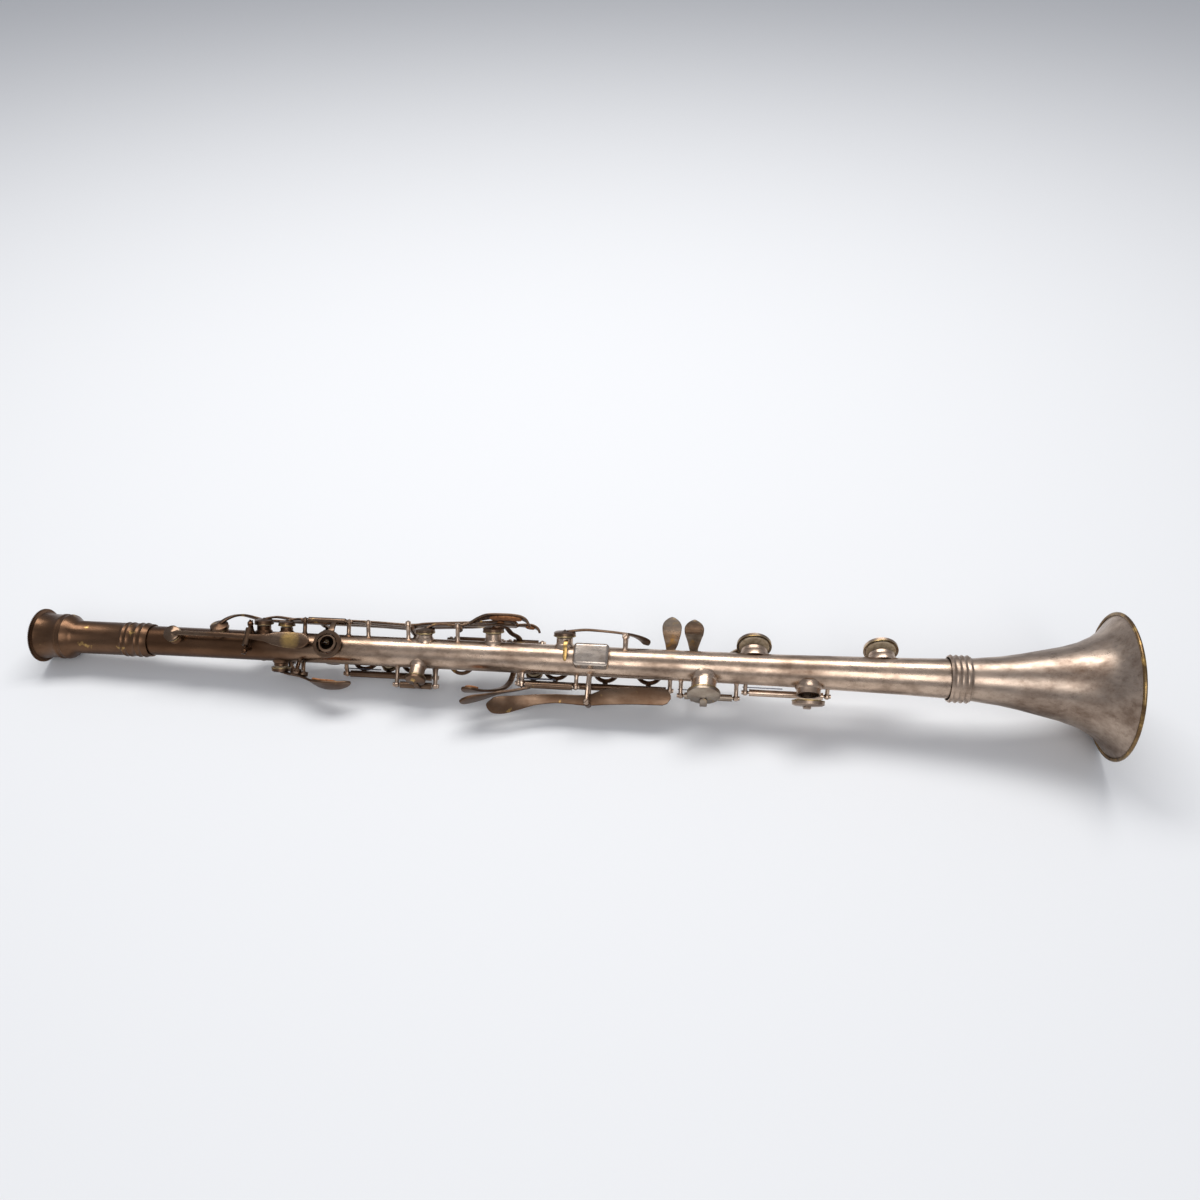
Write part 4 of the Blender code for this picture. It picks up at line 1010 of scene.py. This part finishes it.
def side_keys():
    """Side keys of the right hand; the lowest one turns on a screw of its own post."""
    lanes = [number * LANE_STEP for number in LANES]
    side_key("side_trill_four_key", TRILL_FOUR_HOLE, 3,
             ((113.0, 15.4, 56.0, LEVER_W), (118.0, 17.0, 82.0, LEVER_W), (125.0, 17.2, 101.0, LEVER_W),
              lane(133.0, 16.6, lanes[3])),
             (lane(250.0, 18.6, lanes[3] - 0.6), lane(258.0, 20.4, lanes[3] - 2.0, 5.5),
              lane(266.0, 21.4, lanes[3] - 2.8, 7.0), lane(272.0, 21.2, lanes[3] - 2.8, 5.6),
              lane(275.0, 20.6, lanes[3] - 2.8, 2.6)))
    side_key("side_trill_three_key", TRILL_THREE_HOLE, 2,
             ((138.0, 16.6, 78.0, LEVER_W), (145.0, 16.8, 92.0, LEVER_W), lane(153.0, 16.6, lanes[2])),
             (lane(262.0, 19.2, lanes[2]), lane(276.0, 19.6, lanes[2] - 0.2),
              lane(281.5, 19.8, lanes[2] - 0.6, 4.8), lane(285.5, 19.4, lanes[2] - 0.6, 5.0),
              lane(288.2, 17.8, lanes[2] - 0.6, 4.0), lane(289.2, 15.8, lanes[2] - 0.6, 2.6)))
    side_key("side_fsharp_key", SIDE_FSHARP_HOLE, 1,
             ((149.5, 15.8, 75.0, LEVER_W), lane(153.5, 16.2, lanes[1] - 0.2), lane(170.0, 16.4, lanes[1])),
             (lane(260.0, 19.4, lanes[1]), lane(267.0, 20.6, lanes[1] + 0.1, 3.4),
              lane(273.0, 20.6, lanes[1] + 0.1, 3.8), lane(276.2, 19.4, lanes[1] + 0.1, 3.6),
              lane(277.4, 17.4, lanes[1] + 0.1, 2.8)))
    hole = SIDE_EFLAT_HOLE
    s = SIDE_EFLAT_AXLE[0][0]
    z = lanes[0]
    hub = lane_hub(s, z)
    lever = strap(((hole[0], cup_top(hole), hole[1], 2.6), lane(233.0, 15.4, z + 1.0, 2.6),
                   lane(s, 15.6, z, LEVER_W), lane(251.0, 17.6, z, LEVER_W), lane(256.0, 19.8, z + 1.2, 4.6),
                   lane(262.0, 21.0, z + 2.6, 7.2), lane(272.0, 21.4, z + 2.6, 7.2),
                   lane(279.0, 21.0, z + 2.6, 6.4), lane(282.6, 19.4, z + 2.6, 5.6),
                   lane(284.2, 17.2, z + 2.6, 4.4), lane(284.8, 15.4, z + 2.6, 3.0)), THIN_BAR)
    dress_side_key("side_eflat_key", hole, hub, lever)


def side_pivots():
    """Axle of the long side levers, the pivot screw of the lowest one, and the posts that hold them."""
    start, end = axle_ends(SIDE_AXLE)
    first = axle_ends(SIDE_EFLAT_AXLE)[0]
    tip = Vector((SIDE_EFLAT_AXLE[0][0], SIDE_HEIGHT, LANES[0] * LANE_STEP - LEVER_W * 0.5)) * MM
    return [post(*SIDE_AXLE[0]), post(*SIDE_AXLE[1]), rod(start, end, PIN_R, SIDE_PIN_SIDES),
            post(*SIDE_EFLAT_AXLE[0]), rod(first, tip, PIN_R, SIDE_PIN_SIDES), post(*LONE_POST)]


def ring_arm(s, axle_angle, side):
    """Short arm from a finger ring round to the hinge tube."""
    return strap(((s, 13.2, 180.0 - side * 30.0, 3.2), (s, 14.6, 180.0 - side * 40.0, 2.8),
                  (s, 15.2, axle_angle, 2.8)))


def upper_ring_key():
    """Rings of the left hand's first and second fingers on one hinge tube."""
    hole = UPPER_RING_HOLE
    rings = [finger_ring(FINGER_HOLES[0]), finger_ring(FINGER_HOLES[1])]
    arms = [ring_arm(FINGER_HOLES[0][0], -135.0, -1.0), ring_arm(FINGER_HOLES[1][0], -135.0, -1.0)]
    link = strap((over_cup(hole, 0.0, 3.0), over_cup(hole, 4.6, 3.0), (hole[0], 16.2, -135.0, 3.0)), THIN_BAR)
    build_key("upper_ring_key", UPPER_AXLE, rings + arms + [link], hole=hole, lift=RING_LIFT)


def third_ring_key():
    """Ring of the left hand's third finger."""
    hole = THIRD_RING_HOLE
    arm = ring_arm(FINGER_HOLES[2][0], 129.0, 1.0)
    link = strap((over_cup(hole, 0.0, 3.0), over_cup(hole, -5.2, 3.0), (hole[0], 16.0, 129.0, 3.0)), THIN_BAR)
    ring = finger_ring(FINGER_HOLES[2])
    build_key("third_ring_key", THIRD_AXLE, [ring, arm, link], hole=hole, lift=RING_LIFT)


def lower_ring_key():
    """Three rings of the right hand on one hinge tube."""
    hole = LOWER_RING_HOLE
    solids = []
    for finger in FINGER_HOLES[3:]:
        solids.append(finger_ring(finger))
        solids.append(ring_arm(finger[0], -129.0, -1.0))
    link = strap((over_cup(hole, 0.0, 3.0), over_cup(hole, 5.2, 3.0), (hole[0], 16.2, -129.0, 3.0)), THIN_BAR)
    solids.append(link)
    build_key("lower_ring_key", LOWER_AXLE, solids, hole=hole, lift=RING_LIFT)


def sliver_key():
    """Small key whose touch lies between the second and third fingers."""
    hole = SLIVER_HOLE
    arm = strap((over_cup(hole, -1.0, 2.8), over_cup(hole, -6.4, 2.8), (hole[0], 18.8, -107.0, 2.8)), KEY_BAR)
    touch = strap(((219.0, 18.8, -109.0, 3.0), (219.0, 19.6, -118.0, 3.6), (221.0, 19.6, -128.0, 6.4),
                   (223.0, 19.3, -136.0, 3.0)), THIN_BAR)
    build_key("eflat_sliver_key", SLIVER_AXLE, [arm, touch], hole=hole)


def csharp_gsharp_key():
    """Key on the player's right whose arm crosses the front to a touch on the left."""
    hole = CSHARP_HOLE
    arm = strap((over_cup(hole, 0.0, 3.0), over_cup(hole, 3.2, 3.0, 5.6), (273.5, 14.4, 94.0, 3.0),
                 (276.5, 14.6, 110.0, 3.0), (277.5, 15.4, 124.0, 3.4)), THIN_BAR)
    touch = strap(((277.5, 16.0, 130.0, 3.4), (275.0, 17.4, 148.0, 3.2), (274.3, 17.6, 180.0, 3.2),
                   (273.0, 17.6, -146.0, 3.2), (270.0, 18.0, -122.0, 3.4), (264.0, 18.8, -106.0, 4.0),
                   (258.0, 19.4, -97.0, 7.0), (253.0, 19.8, -88.0, 9.0), (250.0, 19.8, -82.0, 5.0)), KEY_BAR)
    build_key("csharp_gsharp_key", CSHARP_AXLE, [arm, touch], hole=hole)


def cross_key():
    """Key on the player's right whose touch lies beside the lowest finger ring."""
    hole = CROSS_HOLE
    arm = strap(((hole[0] + 1.0, cup_top(hole), hole[1], 2.8), (316.0, 17.2, 66.0, 3.0),
                 (330.0, 16.6, 71.0, 3.2), (338.0, 15.9, 72.0, 4.0), (343.0, 15.2, 82.0, 3.4),
                 (347.0, 14.6, 96.0, 4.6), (349.0, 14.6, 108.0, 5.0), (350.0, 14.8, 116.0, 2.4)), KEY_BAR)
    build_key("b_fsharp_cross_key", CROSS_AXLE, [arm], hole=hole)


PLATE_WIDTHS = (4.0, 5.0, 7.6, 10.2, 10.8, 9.4, 5.6)


def little_finger_plate(s, root, low):
    """Oval touch that stands out past the tube on the player's right."""
    path = ((root, low, 146.0), (s, 17.6, 135.0), (s, 18.4, 120.0), (s, 20.3, 104.7), (s, 22.4, 96.0),
            (s, 24.3, 90.0), (s, 25.9, 85.6))
    stations = [(at, max(r, low - 0.6), angle, width) for (at, r, angle), width in zip(path, PLATE_WIDTHS)]
    return strap(stations, THIN_BAR)


def aflat_key():
    """Key on the left whose arm crosses the front to a plate on the right."""
    hole = AFLAT_HOLE
    arm = strap((over_cup(hole, -1.0, 4.0), over_cup(hole, -9.6, 4.0), (hole[0], 17.4, -117.0, 4.0)))
    cross = strap(((376.0, 17.8, -119.0, 3.4), (376.0, 20.8, -135.0, 3.2), (376.0, 22.6, 180.0, 3.2),
                   (376.0, 21.8, 155.0, 3.2), (375.4, 21.2, 142.0, 4.0)), KEY_BAR)
    plate = little_finger_plate(375.0, 376.0, 21.4)
    build_key("aflat_eflat_key", AFLAT_AXLE, [arm, cross, plate], "warm_silver", hole, finish=FINGER_PLATE)


def fsharp_csharp_key():
    """Open key on the right with a plate for the little finger."""
    hole = FSHARP_HOLE
    arm = strap((over_cup(hole, 1.0, 3.6), over_cup(hole, 6.0, 3.6),
                 (400.0, 20.0, 132.0, 3.4), (394.0, 18.0, 142.0, 3.4), (391.0, 16.4, 148.0, 3.4)))
    plate = little_finger_plate(362.6, 367.0, 16.4)
    build_key("fsharp_csharp_key", FSHARP_AXLE, [arm, plate], "warm_silver", hole, OPEN_LIFT, FINGER_PLATE)


def f_c_key():
    """Open key on the left, worked by the second left lever."""
    hole = F_HOLE
    arm = strap((over_cup(hole, -1.0, 4.0), over_cup(hole, -9.6, 4.0),
                 (hole[0], 16.6, -135.0, 4.0)))
    build_key("f_c_key", F_AXLE, [arm], "warm_silver", hole, OPEN_LIFT)


def e_b_key():
    """Lowest open key, with a touch beside the right hand's plates."""
    hole = E_HOLE
    arm = strap((over_cup(hole, 1.0, 4.0), over_cup(hole, 10.0, 4.0),
                 (hole[0], 16.6, 148.0, 4.0)))
    touch = strap(((411.0, 16.6, 152.0, 3.4), (404.0, 18.8, 156.0, 4.0), (395.0, 19.0, 160.0, 8.0),
                   (387.0, 19.0, 163.0, 9.0), (383.0, 18.8, 164.0, 5.0)), THIN_BAR)
    build_key("e_b_key", E_AXLE, [arm, touch], "warm_silver", hole, OPEN_LIFT)


def left_levers():
    """Two levers for the left little finger, on the player's left."""
    leaf = strap(((287.0, 16.0, -98.0, 3.2), (280.0, 17.8, -96.0, 3.2), (270.0, 20.4, -91.0, 4.0),
                  (263.0, 23.4, -86.0, 8.0), (257.0, 25.8, -82.0, 10.0), (252.5, 27.8, -79.0, 8.0),
                  (250.5, 28.6, -78.0, 3.6)), THIN_BAR)
    build_key("left_e_b_lever", LEFT_ONE_AXLE, [leaf])
    blade = strap(((264.5, 27.6, -86.0, 4.0, -34.0), (268.0, 28.0, -87.0, 9.0, -34.0),
                   (274.0, 27.2, -88.0, 10.0, -32.0), (281.0, 25.2, -92.0, 8.0, -26.0),
                   (290.0, 22.8, -96.0, 6.0, -18.0), (302.0, 21.4, -99.0, 5.0, -10.0),
                   (319.0, 21.4, -100.0, 6.0, -10.0), (330.0, 18.8, -100.0, 9.0, -10.0),
                   (345.0, 17.6, -100.0, 9.6, -10.0), (364.0, 17.4, -100.0, 9.4, -10.0)), THIN_BAR)
    build_key("left_f_c_lever", LEFT_TWO_AXLE, [blade])


# Fittings


def corks():
    """Cork bumpers glued under touches and levers."""
    pads = (
        ("throat_gsharp_key",
         ((165.0, 18.8, -85.0, 6.0), (173.0, 20.9, -82.0, 9.0), (181.0, 20.8, -82.0, 8.0)), 1.0),
        ("csharp_gsharp_key", ((251.5, 18.4, -86.0, 7.0), (258.0, 18.0, -97.0, 6.0)), 1.0),
        ("side_eflat_key",
         (lane(262.0, 19.9, 7.2, 5.6), lane(272.0, 20.3, 7.4, 6.0), lane(280.0, 19.8, 7.4, 5.0)), 1.0),
        ("side_fsharp_key", (lane(265.0, 19.7, 1.5, 2.6), lane(269.0, 19.65, 1.5, 2.6)), 0.45),
        ("side_trill_three_key", (lane(281.0, 18.8, -2.2, 4.0), lane(286.0, 18.3, -2.2, 4.2)), 0.9),
    )
    for name, stations, thick in pads:
        added(name + "_cork", [strap(stations, thick)], CORK, BODY_OF[name])


SPRUNG_AXLES = (UPPER_AXLE, THIRD_AXLE, LOWER_AXLE, FSHARP_AXLE, F_AXLE, E_AXLE, LEFT_ONE_AXLE, AFLAT_AXLE)
NEEDLE_R = 0.3
NEEDLE_LENGTH = 20.0
NEEDLE_DROP = 3.3
NEEDLE_STUB = 1.6
NEEDLE_SHARE = 0.62
NEEDLE_SIDES = 8


def needle_springs():
    """Needle springs that run from a post along the hinge tube."""
    for number, axle in enumerate(SPRUNG_AXLES):
        start, end = axle_ends(axle)
        along = (end - start).normalized()
        s, angle, ball = axle[0]
        root = polar(s, ball - NEEDLE_DROP, angle)
        reach = min((end - start).length * NEEDLE_SHARE, NEEDLE_LENGTH * MM)
        wire = rod(root - along * NEEDLE_STUB * MM, root + along * reach, NEEDLE_R, NEEDLE_SIDES)
        added(f"needle_spring_{number + 1}", [wire], STEEL, "body")


FLAT_SPRING_S = 306.0
FLAT_SPRING_THICK = 0.5


def flat_spring():
    """Curved brass spring screwed beside the thumb rest."""
    path = ((10.0, 52.0, 2.2), (12.6, 40.0, 2.2), (12.0, 24.0, 2.2), (10.2, 8.0, 2.2), (9.3, -8.0, 2.0),
            (9.0, -20.0, 1.4))
    stations = [(FLAT_SPRING_S, *step) for step in path]
    added("flat_spring", [strap(stations, FLAT_SPRING_THICK)], SPRING_BRASS, "body")


def build_pieces():
    build_body()
    build_barrel()
    build_bell()
    build_ferrule()
    build_thumb_rest()
    for make_key in (register_key, thumb_ring_key, a_key, throat_gsharp_key, side_keys, upper_ring_key,
                     third_ring_key, lower_ring_key, sliver_key, csharp_gsharp_key, cross_key, aflat_key,
                     fsharp_csharp_key, f_c_key, e_b_key, left_levers):
        make_key()
    corks()
    needle_springs()
    flat_spring()


# Room, light and camera

FLOOR_SIZE = 14.0
FLOOR_DROP = 0.0002
FLOOR_COLOUR = (0.80, 0.80, 0.80)
SKY_COLOUR = (0.86, 0.90, 1.0)
SKY_STRENGTH = 0.40
LOOK_AT = (0.0, 0.0, 0.03)
SENSOR_MM = 36.0
LENS_MM = 30.72
CAMERA_AT = (0.065877, -0.382164, 0.43849)
CAMERA_TURN_DEG = (46.5764, 0.0, 5.896)


def build_floor():
    """Pale floor just under the instrument."""
    n = Nodes("floor")
    n.shader.inputs["Base Color"].default_value = (*FLOOR_COLOUR, 1.0)
    n.shader.inputs["Roughness"].default_value = 0.7
    mesh = bpy.data.meshes.new("floor")
    half = FLOOR_SIZE * 0.5
    corners = [(x * half, y * half, -FLOOR_DROP) for x, y in ((-1, -1), (1, -1), (1, 1), (-1, 1))]
    mesh.from_pydata(corners, [], [(0, 1, 2, 3)])
    mesh.materials.append(n.material)
    floor = bpy.data.objects.new("floor", mesh)
    bpy.context.scene.collection.objects.link(floor)


def lamp(name, place, size, watts):
    """Soft rectangular lamp that faces the middle of the instrument."""
    data = bpy.data.lights.new(name, "AREA")
    data.shape = "RECTANGLE"
    data.size, data.size_y = size
    data.energy = watts
    obj = bpy.data.objects.new(name, data)
    obj.location = place
    obj.rotation_euler = (Vector(LOOK_AT) - Vector(place)).to_track_quat("-Z", "Y").to_euler()
    bpy.context.scene.collection.objects.link(obj)


def build_light():
    """Even world light with one lamp behind the instrument and a weaker one in front."""
    world = bpy.data.worlds.new("studio")
    bpy.context.scene.world = world
    world.use_nodes = True
    sky = world.node_tree.nodes["Background"]
    sky.inputs["Color"].default_value = (*SKY_COLOUR, 1.0)
    sky.inputs["Strength"].default_value = SKY_STRENGTH
    lamp("key_light", (-0.1, 0.55, 1.2), (1.4, 0.5), 14.0)
    lamp("front_light", (0.2, -1.1, 1.1), (1.0, 0.8), 7.0)


def build_camera():
    """Camera of the reference view."""
    data = bpy.data.cameras.new("camera")
    data.lens = LENS_MM
    data.sensor_width = SENSOR_MM
    camera = bpy.data.objects.new("camera", data)
    camera.location = CAMERA_AT
    camera.rotation_euler = [math.radians(a) for a in CAMERA_TURN_DEG]
    bpy.context.scene.collection.objects.link(camera)
    bpy.context.scene.camera = camera


build_pieces()
build_floor()
build_light()
build_camera()
bpy.context.scene.view_settings.view_transform = "Standard"
